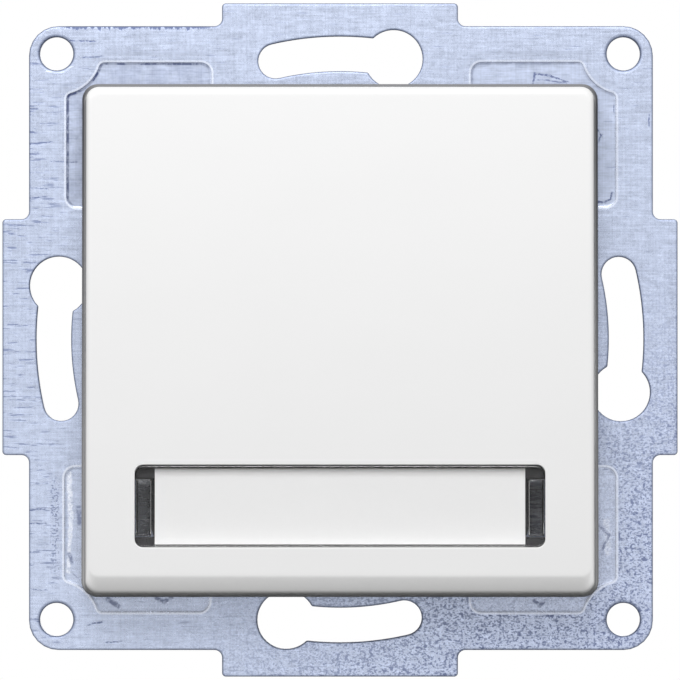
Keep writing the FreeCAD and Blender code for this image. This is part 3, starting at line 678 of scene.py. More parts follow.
@dataclass(frozen=True)
class CardPaper(Finish):
    """Smooth white card with a faint fibre."""

    fibre: Pattern = Pattern((2.2, 2.2, 7.0), 4.0, 0.65, 8.0, 0.03)
    bump_depth: float = 0.006

    def paint(self, board: Board) -> Painted:
        """The card's colour and fibre.

        Args:
            board: The material's tree.

        Returns:
            The varying values, by the name of the shader's socket.
        """
        fibre = board.noise(board.place(), self.fibre)
        light = (fibre - AVERAGE) * self.fibre.strength + 1.0
        return {"Base Color": board.shade(linear(self.colour), light),
                "Normal": board.bump(fibre, self.bump_depth)}


@dataclass(frozen=True)
class ClearPlastic(Finish):
    """Clear moulded plastic, which lets the lamps' light through."""

    refraction: float = 1.49
    # The legs are tinted dark as painted shade of the hollow behind them, with painted highlights near their
    # ends
    leg_shade_colour: str = "#726e66"
    leg_highlight_colour: str = "#fbf1de"
    leg_middle: float = -17.8
    leg_highlight_band: Ramp = (2.45, 2.8)
    glare: float = 0.35
    waves: Pattern = Pattern((1.2, 1.2, 1.2), 2.0, 0.5, 14.0, 0.03)

    def paint(self, board: Board) -> Painted:
        """The window's colour, the painted shade and highlights on its legs, and its faint moulding waves.

        Args:
            board: The material's tree.

        Returns:
            The varying values, by the name of the shader's socket.
        """
        point = board.place()
        _, _, z = board.split(point)
        # Painted shade on the legs, warmed against the ring's blue, with painted highlight bands near their
        # ends
        ends = abs(z - self.leg_middle).step(*self.leg_highlight_band)
        leg = board.mix(ends, linear(self.leg_shade_colour), linear(self.leg_highlight_colour))
        base = board.mix(board.attribute("edge"), linear(self.colour), leg)
        return {"Base Color": base, "Transmission Weight": 1.0,
                "Specular Tint": (self.glare, self.glare, self.glare, 1.0),
                "IOR": self.refraction,
                "Roughness": board.noise(point, self.waves) * self.waves.strength}

    def finish_tree(self, board: Board, shader: Field) -> None:
        """Let the lamps' light and scattered light pass straight through.

        Args:
            board: The material's tree.
            shader: The clear plastic's shader.
        """
        rays = [board.add("ShaderNodeLightPath", output=name)
                for name in ("Is Shadow Ray", "Is Diffuse Ray")]
        clear = board.add("ShaderNodeBsdfTransparent")
        through = rays[0].most(rays[1])
        output(board, board.add("ShaderNodeMixShader", inputs={0: through, 1: shader, 2: clear}))


RING_SCRAPES = (
    Scrape((20.5, 27.95), (21.9, 27.85), 0.16),
    Scrape((21.9, 27.85), (23.9, 27.15), 0.13),
    Scrape((23.7, 27.05), (20.9, 27.4), 0.12, 0.8),
    Scrape((20.5, 28.0), (20.3, 27.0), 0.16),
    Scrape((27.0, 22.2), (27.5, 21.5), 0.12),
    Scrape((27.5, 21.5), (27.1, 20.8), 0.14),
    Scrape((27.1, 14.5), (27.8, 14.5), 0.16),
    Scrape((27.8, 14.5), (28.4, 14.8), 0.15),
    Scrape((28.4, 14.8), (28.6, 15.4), 0.13),
    Scrape((28.8, 24.6), (28.8, 23.8), 0.09, 0.8),
    Scrape((32.5, 23.6), (32.5, 22.6), 0.13),
    Scrape((27.2, -19.5), (28.3, -20.5), 0.2, 0.9),
    Scrape((28.3, -20.5), (27.6, -22.0), 0.2, 0.9),
    Scrape((20.4, -27.4), (21.0, -27.9), 0.24),
    Scrape((21.0, -27.9), (21.6, -27.4), 0.24),
    Scrape((-28.3, 31.5), (-25.8, 31.4), 0.12),
    Scrape((-27.0, 29.7), (-25.0, 29.8), 0.12, 0.9),
    Scrape((-27.3, 28.6), (-25.6, 28.4), 0.07, 0.6),
    Scrape((-33.0, 24.3), (-31.9, 24.3), 0.13),
    Scrape((-32.8, 21.9), (-32.0, 21.8), 0.16),
    Scrape((-32.6, 20.6), (-30.3, 20.8), 0.10),
    Scrape((-30.3, 18.8), (-27.8, 18.7), 0.09, 0.8),
    Scrape((-32.6, 16.0), (-30.9, 15.9), 0.10, 0.9),
    Scrape((-32.7, 14.9), (-30.9, 15.1), 0.13),
    Scrape((-33.0, -17.9), (-31.1, -17.8), 0.13),
    Scrape((-32.6, -19.3), (-31.0, -19.3), 0.10),
    Scrape((-32.9, -22.3), (-31.6, -22.3), 0.11, 0.8),
    Scrape((-32.4, -26.2), (-30.9, -26.3), 0.10, 0.8),
    Scrape((-27.5, -17.6), (-27.3, -19.3), 0.40, 0.8),
    Scrape((-28.5, -22.5), (-28.2, -23.4), 0.32, 0.9),
    Scrape((-28.0, -24.6), (-26.7, -25.9), 0.08, 0.8),
    Scrape((-24.5, -27.2), (-23.3, -28.0), 0.34, 0.9),
    Scrape((-19.3, -27.1), (-18.5, -27.5), 0.3, 0.9),
    Scrape((-18.5, -27.5), (-17.7, -27.1), 0.3, 0.9),
    Scrape((-26.4, -29.9), (-25.1, -29.7), 0.14),
    Scrape((-24.5, -31.8), (-23.1, -31.7), 0.12),
)

# Painted highlights: bright streaks along the pads' walls, drawn in the pale colour
RING_GLINTS = (
    Scrape((-28.55, -14.0), (-28.3, -19.2), 0.38),
    Scrape((-28.3, -19.2), (-28.6, -24.4), 0.30),
    Scrape((28.0, -19.0), (28.2, -22.5), 0.45, 0.6),
    Scrape((-30.9, 28.2), (-28.2, 28.7), 0.10, 0.7),
)


@dataclass(frozen=True)
class PadLook:
    """How one pressed pad lies and is drawn: its floor's painted shade or light, and its painted shade and
    highlight lines.
    """

    tone: float
    dark: float
    light: float
    shift: Point


class Finishes:
    """Every finish of the button, by the piece that has it."""

    ring = GalvanisedSheet("ring_steel", "#b0b9ce", 0.28, 0.85, scrapes=RING_SCRAPES,
                          glints=RING_GLINTS)
    rocker = RockerPlastic("rocker_plastic", "#efefef", 0.3, grain=0.0006, cloud=0.006)
    cradle = MouldedPlastic("cradle_plastic", "#c9cbcb", 0.5)
    tray = MouldedPlastic("tray_plastic", "#222224", 0.6, grain=0.003, gleam=0.15)
    card = CardPaper("card_paper", "#e9e9e9", 0.6)
    window = ClearPlastic("window_plastic", "#ffffff", 0.03)
    frame = MouldedPlastic("frame_plastic", "#4b4d50", 0.5)
    base = MouldedPlastic("base_plastic", "#9aa0a6", 0.48)
    lever = MouldedPlastic("lever_plastic", "#d9702b", 0.45)
    plunger = MouldedPlastic("plunger_plastic", "#d8d6cd", 0.4)
    spring = RolledMetal("spring_steel", "#b9bcc2", 0.28, 1.0, tarnish="#7d7f86")
    blade = RolledMetal("blade_brass", "#c9a45a", 0.3, 1.0)
    brass = RolledMetal("terminal_brass", "#c7a052", 0.32, 1.0, lines=(0.5, 0.5, 6.0))
    silver = RolledMetal("contact_silver", "#d6d6d2", 0.25, 1.0, tarnish="#9b988c")
    rivet = RolledMetal("rivet_steel", "#b4b9c4", 0.35, 1.0, tarnish="#80868f")
    claw = RolledMetal("claw_steel", "#bcc3d2", 0.4, 1.0, tarnish="#8a93a8")
    screw = RolledMetal("screw_steel", "#c2c8d4", 0.3, 1.0, tarnish="#8f97a6")


# Outlines


def arc(centre: Point, radius: float, start: float, end: float, steps: int) -> Loop:
    """Points along a round stretch.

    Args:
        centre: Its centre.
        radius: Its radius.
        start: The first angle in degrees.
        end: The last angle in degrees.
        steps: How many pieces it is cut into.

    Returns:
        One point more than there are steps.
    """
    angles = [math.radians(start + (end - start) * i / steps) for i in range(steps + 1)]
    return [(centre[0] + radius * math.cos(a), centre[1] + radius * math.sin(a)) for a in angles]


def circle(centre: Point, radius: float, steps: int) -> Loop:
    """Points all round a circle."""
    return arc(centre, radius, 0, 360, steps)[:-1]


def cut_start(run: Loop, distance: float) -> Loop:
    """A run without its first stretch.

    Args:
        run: The points.
        distance: The length that is cut off.

    Returns:
        The points that are left, from the cut on.
    """
    left = distance
    for index in range(len(run) - 1):
        here, there = Vector(run[index]), Vector(run[index + 1])
        step = (there - here).length
        if step > left + TINY:
            return [tuple(here.lerp(there, left / step))] + run[index + 1:]
        left -= step
    return run[-1:]


def rounded(runs: list[Loop], radii: list[float], steps: int = 6) -> Loop:
    """Join runs into one closed outline with rounded corners.

    Args:
        runs: The runs in order; each starts where the one before it ends.
        radii: The corner radius after each run.
        steps: How many pieces each corner is cut into.

    Returns:
        The outline's points.
    """
    count = len(runs)
    reaches, weights = [], []
    for index, radius in enumerate(radii):
        before, after = runs[index], runs[(index + 1) % count]
        heading = Vector(before[-1]) - Vector(before[-2])
        onward = Vector(after[1]) - Vector(after[0])
        turn = heading.angle(onward)
        reaches.append(radius * math.tan(turn / 2))
        weights.append(math.cos(turn / 2))
    trimmed = []
    for index, run in enumerate(runs):
        short = cut_start(run, reaches[index - 1])
        trimmed.append(cut_start(short[::-1], reaches[index])[::-1])
    outline: Loop = []
    for index, run in enumerate(trimmed):
        outline += run
        start, end = Vector(run[-1]), Vector(trimmed[(index + 1) % count][0])
        corner, weight = Vector(runs[index][-1]), weights[index]
        for step in range(1, steps):
            t = step / steps
            parts = ((1 - t) ** 2, 2 * weight * t * (1 - t), t ** 2)
            point = (start * parts[0] + corner * parts[1] + end * parts[2]) / sum(parts)
            outline.append(tuple(point))
    return [here for index, here in enumerate(outline)
            if (Vector(here) - Vector(outline[index - 1])).length > SAME_PLACE]


def polygon(corners: list[tuple[float, float, float]], steps: int = 6) -> Loop:
    """A closed outline with straight sides and rounded corners.

    Args:
        corners: Each corner's place and radius, in order.
        steps: How many pieces each corner is cut into.

    Returns:
        The outline's points.
    """
    places = [(x, z) for x, z, _ in corners]
    runs = [[places[i - 1], places[i]] for i in range(len(places))]
    return rounded(runs, [radius for _, _, radius in corners], steps)


def box_outline(half_x: float, low: float, high: float, radius: float, steps: int = 6,
                middle_x: float = 0.0) -> Loop:
    """A rounded rectangle, from its lower right corner round to its lower left one.

    Args:
        half_x: Half its width.
        low: Its lower edge.
        high: Its upper edge.
        radius: Its corner radius.
        steps: How many pieces each corner is cut into.
        middle_x: Its middle across.

    Returns:
        The outline's points, counterclockwise as seen from the front.
    """
    left, right = middle_x - half_x, middle_x + half_x
    points = arc((right - radius, low + radius), radius, -90, 0, steps)
    points += arc((right - radius, high - radius), radius, 0, 90, steps)
    points += arc((left + radius, high - radius), radius, 90, 180, steps)
    points += arc((left + radius, low + radius), radius, 180, 270, steps)
    return points


def outward(loop: Loop) -> list[Vector]:
    """The direction that points out of a counterclockwise outline at each of its points.

    Args:
        loop: The outline.

    Returns:
        A vector of length 1 for each point.
    """
    count = len(loop)
    directions = []
    for index in range(count):
        before, after = Vector(loop[index - 1]), Vector(loop[(index + 1) % count])
        here = Vector(loop[index])
        along = (here - before).normalized() + (after - here).normalized()
        directions.append(Vector((along.y, -along.x)).normalized())
    return directions


def grown(loop: Loop, distance: float) -> Loop:
    """An outline made larger all round, or smaller by a negative distance."""
    return [tuple(Vector(p) + n * distance) for p, n in zip(loop, outward(loop))]


def mirrored(loop: Loop, across: bool = False, upright: bool = False) -> Loop:
    """An outline on the other side of the middle, still counterclockwise."""
    moved = [(-x if across else x, -z if upright else z) for x, z in loop]
    return moved if across == upright else moved[::-1]


# Meshes


class Shell:
    """The points, faces and attributes of a mesh that is being built, in millimetres."""

    def __init__(self) -> None:
        """Start empty."""
        self.points: list[tuple[float, float, float]] = []
        self.faces: list[tuple[int, ...]] = []
        # Each point's cut edge, and its painted light (above 0) or painted shade (below 0)
        self.marks: dict[str, dict[int, float]] = {"edge": {}, "painted_shading": {}}

    def ring(self, loop: Loop, depth: Union[float, list[float]], edge: float = 0.0,
             painted_shading: list[float] | None = None) -> list[int]:
        """Add an outline's points.

        Args:
            loop: The outline.
            depth: Its depth, or one for each point.
            edge: How dark a cut edge it is.
            painted_shading: How light or dark each point is drawn.

        Returns:
            The numbers of its points.
        """
        depths = depth if isinstance(depth, list) else [depth] * len(loop)
        first = len(self.points)
        self.points += [(x, y, z) for (x, z), y in zip(loop, depths)]
        numbers = list(range(first, len(self.points)))
        for index, number in enumerate(numbers):
            self.marks["edge"][number] = edge
            self.marks["painted_shading"][number] = painted_shading[index] if painted_shading else 0.0
        return numbers

    def strip(self, rings: list[list[int]]) -> None:
        """Join rings with bands of faces.

        Args:
            rings: The rings, front to back in a hole and back to front round an outline.
        """
        for first, second in zip(rings, rings[1:]):
            count = len(first)
            for i in range(count):
                j = (i + 1) % count
                self.faces.append((first[i], first[j], second[j], second[i]))

    def flat(self, outer: list[int], holes: Iterable[list[int]] = (), front: bool = True) -> None:
        """Fill a flat face.

        Args:
            outer: Its outline.
            holes: The outlines of its holes.
            front: Whether it looks to the front.
        """
        rings = [outer, *holes]
        numbers = [number for ring in rings for number in ring]
        flat_rings = [[Vector((self.points[n][0], self.points[n][2], 0.0)) for n in ring]
                      for ring in rings]
        for triangle in tessellate_polygon(flat_rings):
            a, b, c = (numbers[i] for i in triangle)
            (ax, _, az), (bx, _, bz), (cx, _, cz) = (self.points[n] for n in (a, b, c))
            turn = (bx - ax) * (cz - az) - (bz - az) * (cx - ax)
            self.faces.append((a, b, c) if (turn > 0) == front else (c, b, a))

    def block(self, low: tuple[float, float, float], high: tuple[float, float, float],
              edge: float = 0.15) -> None:
        """Add a block with softened edges.

        Args:
            low: Its lowest corner.
            high: Its highest corner.
            edge: How far its front and back edges are drawn in.
        """
        middle = (low[0] + high[0]) / 2
        half = (high[0] - low[0]) / 2
        loops = []
        for inset, depth in ((edge, low[1]), (0.0, low[1] + edge),
                             (0.0, high[1] - edge), (edge, high[1])):
            loop = box_outline(half - inset, low[2] + inset, high[2] - inset, edge, 2, middle)
            loops.append(self.ring(loop, depth))
        self.strip(loops[::-1])
        self.flat(loops[0])
        self.flat(loops[-1], front=False)

    def peg(self, x: float, z: float, radius: float, front: float, back: float,
            edge: float = 0.2, steps: int = 24) -> None:
        """Add a round peg with a softened end at the back.

        Args:
            x: Its middle across.
            z: Its middle upward.
            radius: Its radius.
            front: Where it starts.
            back: Where it ends.
            edge: How far its end is drawn in.
            steps: How many faces lie round it.
        """
        loop = circle((x, z), radius, steps)
        rings = [self.ring(loop, front), self.ring(loop, back - edge), self.ring(grown(loop, -edge), back)]
        self.strip(rings[::-1])
        self.flat(rings[0])
        self.flat(rings[-1], front=False)

    def build(self, name: str, turn: Matrix | None = None, sharp: float = 40.0) -> bpy.types.Object:
        """Make the object.

        Args:
            name: The piece's name.
            turn: Moves the finished mesh, in metres.
            sharp: Edges that turn by more degrees than this stay sharp.

        Returns:
            The object, at the origin.
        """
        mesh = bpy.data.meshes.new(name)
        mesh.from_pydata([tuple(c * MM for c in p) for p in self.points], [], self.faces)
        for title, values in self.marks.items():
            layer = mesh.attributes.new(title, "FLOAT", "POINT")
            layer.data.foreach_set("value", [values.get(i, 0.0) for i in range(len(self.points))])
        if turn is not None:
            mesh.transform(turn)
        mesh.validate()
        smooth(mesh, sharp)
        piece = bpy.data.objects.new(name, mesh)
        bpy.context.scene.collection.objects.link(piece)
        return piece


def smooth(mesh: bpy.types.Mesh, sharp: float) -> None:
    """Shade a mesh smooth apart from the edges that turn by more than sharp degrees."""
    mesh.shade_smooth()
    mesh.set_sharp_from_angle(angle=math.radians(sharp))


def applied(piece: bpy.types.Object) -> bpy.types.Object:
    """Replace a piece's mesh with what its modifiers make of it, and remove them.

    Args:
        piece: The piece.

    Returns:
        The piece, with a plain mesh.
    """
    bpy.context.view_layer.update()
    graph = bpy.context.evaluated_depsgraph_get()
    made = bpy.data.meshes.new_from_object(piece.evaluated_get(graph), depsgraph=graph)
    made.name = piece.name
    piece.modifiers.clear()
    piece.data = made
    return piece


def dress(piece: bpy.types.Object, finish: Finish) -> None:
    """Give a piece its one material.

    Args:
        piece: The piece.
        finish: Its finish.
    """
    piece.data.materials.clear()
    piece.data.materials.append(finish.material())


def seat(piece: bpy.types.Object, node: str, finish: Finish) -> bpy.types.Object:
    """Finish a piece that stands for a CAD node.

    Args:
        piece: The piece.
        node: The node that it replaces, and whose body it rides on.
        finish: Its finish.

    Returns:
        The piece.
    """
    dress(piece, finish)
    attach(piece, frame["nodes"][node]["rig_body"])
    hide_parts(node)
    log.info("%s: %d faces", piece.name, len(piece.data.polygons))
    return piece


def soft_copy(node: str, bevel: float, segments: int = 2, angle: float = 32.0) -> bpy.types.Object:
    """Copy a node's mesh and round its edges.

    Args:
        node: The node.
        bevel: How wide the rounding is, in millimetres. With 0 nothing is rounded.
        segments: How many faces the rounding has.
        angle: Only edges that turn by more degrees than this are rounded.

    Returns:
        The copy.
    """
    mesh = frame["nodes"][node].data.copy()
    mesh.name = node + "_moulded"
    work = bmesh.new()
    work.from_mesh(mesh)
    bmesh.ops.remove_doubles(work, verts=work.verts, dist=MERGED)
    bmesh.ops.dissolve_limit(work, angle_limit=math.radians(FLAT_ANGLE), verts=work.verts,
                             edges=work.edges)
    work.to_mesh(mesh)
    work.free()
    piece = bpy.data.objects.new(node + "_moulded", mesh)
    bpy.context.scene.collection.objects.link(piece)
    if bevel:
        soften = piece.modifiers.new("soften", "BEVEL")
        soften.width = bevel * MM
        soften.segments = segments
        soften.limit_method = "ANGLE"
        soften.angle_limit = math.radians(angle)
        soften.use_clamp_overlap = True
        applied(piece)
    smooth(piece.data, angle)
    weigh = piece.modifiers.new("weigh", "WEIGHTED_NORMAL")
    weigh.keep_sharp = True
    weigh.weight = 100
    return applied(piece)


# Support ring


class Corner(Enum):
    """The four corners of the ring, by their sides."""

    UPPER_LEFT = (-1, 1)
    UPPER_RIGHT = (1, 1)
    LOWER_LEFT = (-1, -1)
    LOWER_RIGHT = (1, -1)


# Each corner's pad: its floor's painted shade (below 0) or light, its painted shade line, its painted
# highlight line, and its shift
PAD_LOOKS = {
    Corner.UPPER_LEFT: PadLook(-0.2, 0.85, 0.5, (0.25, 0.15)),
    Corner.UPPER_RIGHT: PadLook(-0.06, 0.4, 0.4, (0.0, 0.2)),
    Corner.LOWER_LEFT: PadLook(0.06, 0.3, 0.7, (0.05, 0.4)),
    Corner.LOWER_RIGHT: PadLook(0.12, 0.15, 0.6, (0.0, 0.4))}


# How far outside the pad each ring lies and how deep, and how strongly it has the pad's painted
# highlight line, its painted shade line and its floor's painted shade or light
PAD_PROFILE = (
    (1.3, 0.0, 0.0, 0.0, 0.0), (1.1, 0.003, 0.0, 0.06, 0.0), (0.95, 0.008, 0.0, 0.1, 0.0),
    (0.8, 0.013, 0.1, 0.0, 0.0), (0.6, 0.015, 0.0, 0.0, 0.0), (0.3, 0.018, 0.0, 0.0, 0.0),
    (0.22, 0.02, 1.0, 0.0, 0.0), (0.08, 0.024, 1.0, 0.0, 0.0), (0.03, 0.028, 1.0, 0.9, 0.0),
    (0.0, 0.12, 0.9, 1.4, 0.0), (-0.06, 0.128, 0.4, 1.3, 0.5), (-0.18, 0.136, 0.0, 1.0, 1.0),
    (-0.28, 0.14, 0.0, 0.0, 1.0), (-0.4, 0.142, 0.0, 0.0, 1.0))


@dataclass
class SupportRing:
    """The zinc-coated steel ring with its slots, holes and pressed pads."""

    width: float = 71.0
    height: float = 70.8
    body: float = 65.6
    body_shift: Point = (0.1, 0.2)
    corner: float = 3.1
    tab: float = 24.8
    side_tab_rise: float = 0.3
    tab_corner: float = 0.4
    tab_root: float = 0.8
    hole_spread_x: float = 59.6
    hole_spread_z: float = 59.5
    hole_rise: float = 0.35
    hole: float = 1.75
    slot_circle: float = 30.1
    slot_half_width: float = 1.825
    slot_rises: tuple[float, ...] = (0.15, 0.0, 0.08, 0.12)
    keyhole: float = 3.05
    narrow_end: float = 13.0
    keyhole_end: float = 10.8
    throat: float = 0.25
    opening: float = 18.0
    opening_corner: float = 2.0
    rivet_hole: float = 1.1
    screw_hole: float = 1.6
    seat_radius: float = 27.9
    seat_depth: float = 0.2
    pad_outer: float = 29.0
    pad_inner: float = 24.6
    pad_end: float = 13.8
    pad_end_corner: float = 1.1
    pad_notch: float = 4.5
    pad_corner: float = 0.6
    pad_inner_corner: float = 1.4
    rim: float = 0.12
    hole_rim: float = 0.2
    rivet_rim: float = 0.08
    rim_darkness: tuple[float, ...] = (0.5, 0.8, 1.0, 1.0)
    # Painted shade on the holes' front rims, most on the upper left side of each hole
    hole_rim_shade: float = -0.2
    back_rims: tuple[Point, ...] = ((0.0, -0.06), (0.06, 0.0))
    back_margin: float = 0.16
    # The light from the upper left by which the pressed lines and hole rims are given painted light and shade
    light: Point = (-0.7, 0.7)
    least_lit: float = 0.1
    lit_share: float = 0.55
    sharp: float = 50.0

    def outline(self) -> Loop:
        """The ring's outline.

        Returns:
            Its points, counterclockwise.
        """
        tab, rise = self.tab / 2, self.side_tab_rise
        left, right = self.body_shift[0] - self.body / 2, self.body_shift[0] + self.body / 2
        low, high = self.body_shift[1] - self.body / 2, self.body_shift[1] + self.body / 2
        side, upright = self.width / 2, self.height / 2
        root, tip, round_corner = self.tab_root, self.tab_corner, self.corner
        return polygon([
            (side, -tab + rise, tip), (side, tab + rise, tip), (right, tab + rise, root),
            (right, high, round_corner), (tab, high, root), (tab, upright, tip),
            (-tab, upright, tip), (-tab, high, root), (left, high, round_corner),
            (left, tab + rise, root), (-side, tab + rise, tip), (-side, -tab + rise, tip),
            (left, -tab + rise, root), (left, low, round_corner), (-tab, low, root),
            (-tab, -upright, tip), (tab, -upright, tip), (tab, low, root),
            (right, low, round_corner), (right, -tab + rise, root)])

    def slot(self, side_angle: float, rise: float) -> Loop:
        """A curved slot with a round end that a screw head passes.

        Args:
            side_angle: Where the slot's side of the ring is, in degrees.
            rise: How far it lies above its place on the circle.

        Returns:
            Its outline, counterclockwise.
        """
        circle, half = self.slot_circle, self.slot_half_width
        outer, inner = circle + half, circle - half
        narrow, wide = side_angle + self.narrow_end, side_angle - self.keyhole_end

        def spot(radius: float, angle: float) -> Point:
            """The place at an angle on a circle round the ring's middle."""
            return radius * math.cos(math.radians(angle)), radius * math.sin(math.radians(angle))

        def meeting(radius: float) -> float:
            """The angle at which a side of the slot meets the round end."""
            cosine = (radius ** 2 + circle ** 2 - self.keyhole ** 2) / (2 * radius * circle)
            return wide + math.degrees(math.acos(cosine))

        middle = spot(circle, wide)
        turns = []
        for radius in (inner, outer):
            x, z = spot(radius, meeting(radius))
            turns.append(math.degrees(math.atan2(z - middle[1], x - middle[0])))
        start, end = turns
        while end < start:
            end += 360
        runs = [arc((0, 0), outer, meeting(outer), narrow, 16),
                arc(spot(circle, narrow), half, narrow, narrow + 180, 16),
                arc((0, 0), inner, narrow, meeting(inner), 16),
                arc(middle, self.keyhole, start, end, 36)]
        return [(x, z + rise) for x, z in rounded(runs, [0.0, 0.0, self.throat, self.throat], 4)]

    def pad(self) -> Loop:
        """The pressed pad of the upper right corner.

        Returns:
            Its outline, counterclockwise.
        """
        outer, inner, end = self.pad_outer, self.pad_inner, self.pad_end
        hole = (self.hole_spread_x / 2, self.hole_spread_z / 2 + self.hole_rise)
        level_x = hole[0] - math.sqrt(self.pad_notch ** 2 - (outer - hole[1]) ** 2)
        upright_z = hole[1] - math.sqrt(self.pad_notch ** 2 - (outer - hole[0]) ** 2)
        from_angle = math.degrees(math.atan2(upright_z - hole[1], outer - hole[0]))
        to_angle = math.degrees(math.atan2(outer - hole[1], level_x - hole[0]))
        if to_angle > from_angle:
            to_angle -= 360
        notch = arc(hole, self.pad_notch, from_angle, to_angle, 14)
        runs = [[(inner, end), (outer, end)], [(outer, end), (outer, upright_z)], notch,
                [(level_x, outer), (end, outer)], [(end, outer), (end, inner)],
                [(end, inner), (inner, inner)], [(inner, inner), (inner, end)]]
        radii = [self.pad_end_corner, self.pad_corner, self.pad_corner, self.pad_end_corner,
                 self.pad_end_corner, self.pad_inner_corner, self.pad_end_corner]
        return rounded(runs, radii, 8)

    def lit(self, loop: Loop, far: float, plain: float = 0.0) -> list[float]:
        """The painted light and shade of each point of an outline, by how it faces a light from the upper
        left.

        Args:
            loop: The outline.
            far: The painted shade or light added most on the upper left side, and less of it on the others.
            plain: What is drawn all round.

        Returns:
            Less than 0 where painted shade is drawn, and more where painted light is drawn.
        """
        aim, share = Vector(self.light), self.lit_share
        return [plain + far * max(self.least_lit, 1.0 - share + share * aim.dot(away))
                for away in outward(loop)]

    def holes(self) -> list[tuple[Loop, float]]:
        """Every opening, slot and hole of the ring.

        Returns:
            Each hole's outline and how far its front edge is rounded.
        """
        found = [(box_outline(self.opening, -self.opening, self.opening, self.opening_corner), self.rim)]
        found += [(self.slot(index * 90.0, rise), self.rim) for index, rise in enumerate(self.slot_rises)]
        for side, level in (corner.value for corner in Corner):
            spot = (side * self.hole_spread_x / 2, level * self.hole_spread_z / 2 + self.hole_rise)
            found.append((circle(spot, self.hole, 48), self.hole_rim))
            found.append((circle((side * RIVET_X, level * RIVET_Z), self.rivet_hole, 20), self.rivet_rim))
        found += [(circle((side * CLAW_X, 0), self.screw_hole, 28), self.rim) for side in SIDES.values()]
        return found

    def pad_rings(self, shell: Shell, loop: Loop, look: PadLook) -> list[list[int]]:
        """One pad's rings, from the flat sheet to the pad's floor.

        Args:
            shell: The mesh.
            loop: The pad's outline.
            look: How it is drawn.

        Returns:
            The rings in order.
        """
        rings = []
        for grow, depth, light, dark, floor in PAD_PROFILE:
            outline = grown(loop, grow)
            # Painted light and shade of this ring
            shades = self.lit(outline, -look.dark * dark, look.light * light + look.tone * floor)
            rings.append(shell.ring(outline, RING_FRONT + depth, painted_shading=shades))
        return rings

    def sheet(self) -> bpy.types.Object:
        """The pressed sheet, before the seat is cut into its back.

        Returns:
            The sheet's object.
        """
        shell = Shell()
        outline, rim = self.outline(), self.rim
        inset = grown(outline, -RIM_MARGIN * rim)
        front_face, back_face = [shell.ring(inset, RING_FRONT)], [shell.ring(inset, 0.0)]
        bend = [(out, deep, dark) for (out, deep), dark in zip(ROUND_EDGE, self.rim_darkness)]
        rings = [back_face[0]]
        rings += [shell.ring(grown(outline, -rim * a), -rim * b, 1.0) for a, b, _ in bend]
        rings += [shell.ring(grown(outline, -rim * a), RING_FRONT + rim * b, e) for a, b, e in bend[::-1]]
        shell.strip(rings + [front_face[0]])
        for loop, edge in self.holes():
            # Painted shade on this hole's front rim
            lit = self.lit(loop, self.hole_rim_shade)
            rings = [shell.ring(grown(loop, 2.0 * edge), RING_FRONT)]
            front_face.append(rings[0])
            rings += [shell.ring(grown(loop, edge * a), RING_FRONT + edge * b, e, lit)
                      for a, b, e in bend]
            rings += [shell.ring(grown(loop, out), depth, 1.0) for out, depth in self.back_rims]
            rings.append(shell.ring(grown(loop, self.back_margin), 0.0))
            shell.strip(rings)
            back_face.append(rings[-1])
        for corner, look in PAD_LOOKS.items():
            side, level = corner.value
            pad = [(x + look.shift[0], z + look.shift[1])
                   for x, z in mirrored(self.pad(), side < 0, level < 0)]
            rings = self.pad_rings(shell, pad, look)
            shell.strip(rings)
            front_face.append(rings[0])
            shell.flat(rings[-1])
        shell.flat(front_face[0], front_face[1:])
        shell.flat(back_face[0], back_face[1:], front=False)
        return shell.build("support_ring_sheet", sharp=self.sharp)

    def build(self) -> bpy.types.Object:
        """Make the ring, with the seat cut into its back.

        Returns:
            The ring's object.
        """
        ring = self.sheet()
        cutter = Shell()
        seat_edge = circle((0, 0), self.seat_radius, 180)
        ends = [cutter.ring(seat_edge, -self.seat_depth), cutter.ring(seat_edge, 1.0)]
        cutter.strip(ends[::-1])
        cutter.flat(ends[0])
        cutter.flat(ends[1], front=False)
        tool = cutter.build("seat_cutter")
        cut = ring.modifiers.new("seat", "BOOLEAN")
        cut.operation = "DIFFERENCE"
        cut.solver = "EXACT"
        cut.object = tool
        applied(ring)
        bpy.data.objects.remove(tool)
        smooth(ring.data, self.sharp)
        return seat(ring, "support_ring", Finishes.ring)


# Rocker


@dataclass(frozen=True)
class EdgeRoll:
    """How the face turns into a wall: a first bend, a straight facet and a second bend."""

    facet_angle: float
    first_bend: float
    facet: float
    second_bend: float
    curl: float = 0.0

    def stations(self, wall_angle: float) -> list[tuple[float, float]]:
        """Walk from the face to the wall.

        Args:
            wall_angle: How steep the wall is, in degrees.

        Returns:
            How far outward and how deep each station lies, from the face's edge.
        """
        turned = self.facet_angle + self.curl
        out, depth, found = 0.0, 0.0, [(0.0, 0.0)]
        for length, start, end, count in ((self.first_bend, 0.0, self.facet_angle, 4),
                                          (self.facet, self.facet_angle, turned, 4),
                                          (self.second_bend, turned, wall_angle, 8)):
            for index in range(count):
                angle = math.radians(start + (end - start) * (index + 0.5) / count)
                out += length / count * math.cos(angle)
                depth += length / count * math.sin(angle)
                found.append((out, depth))
        return found


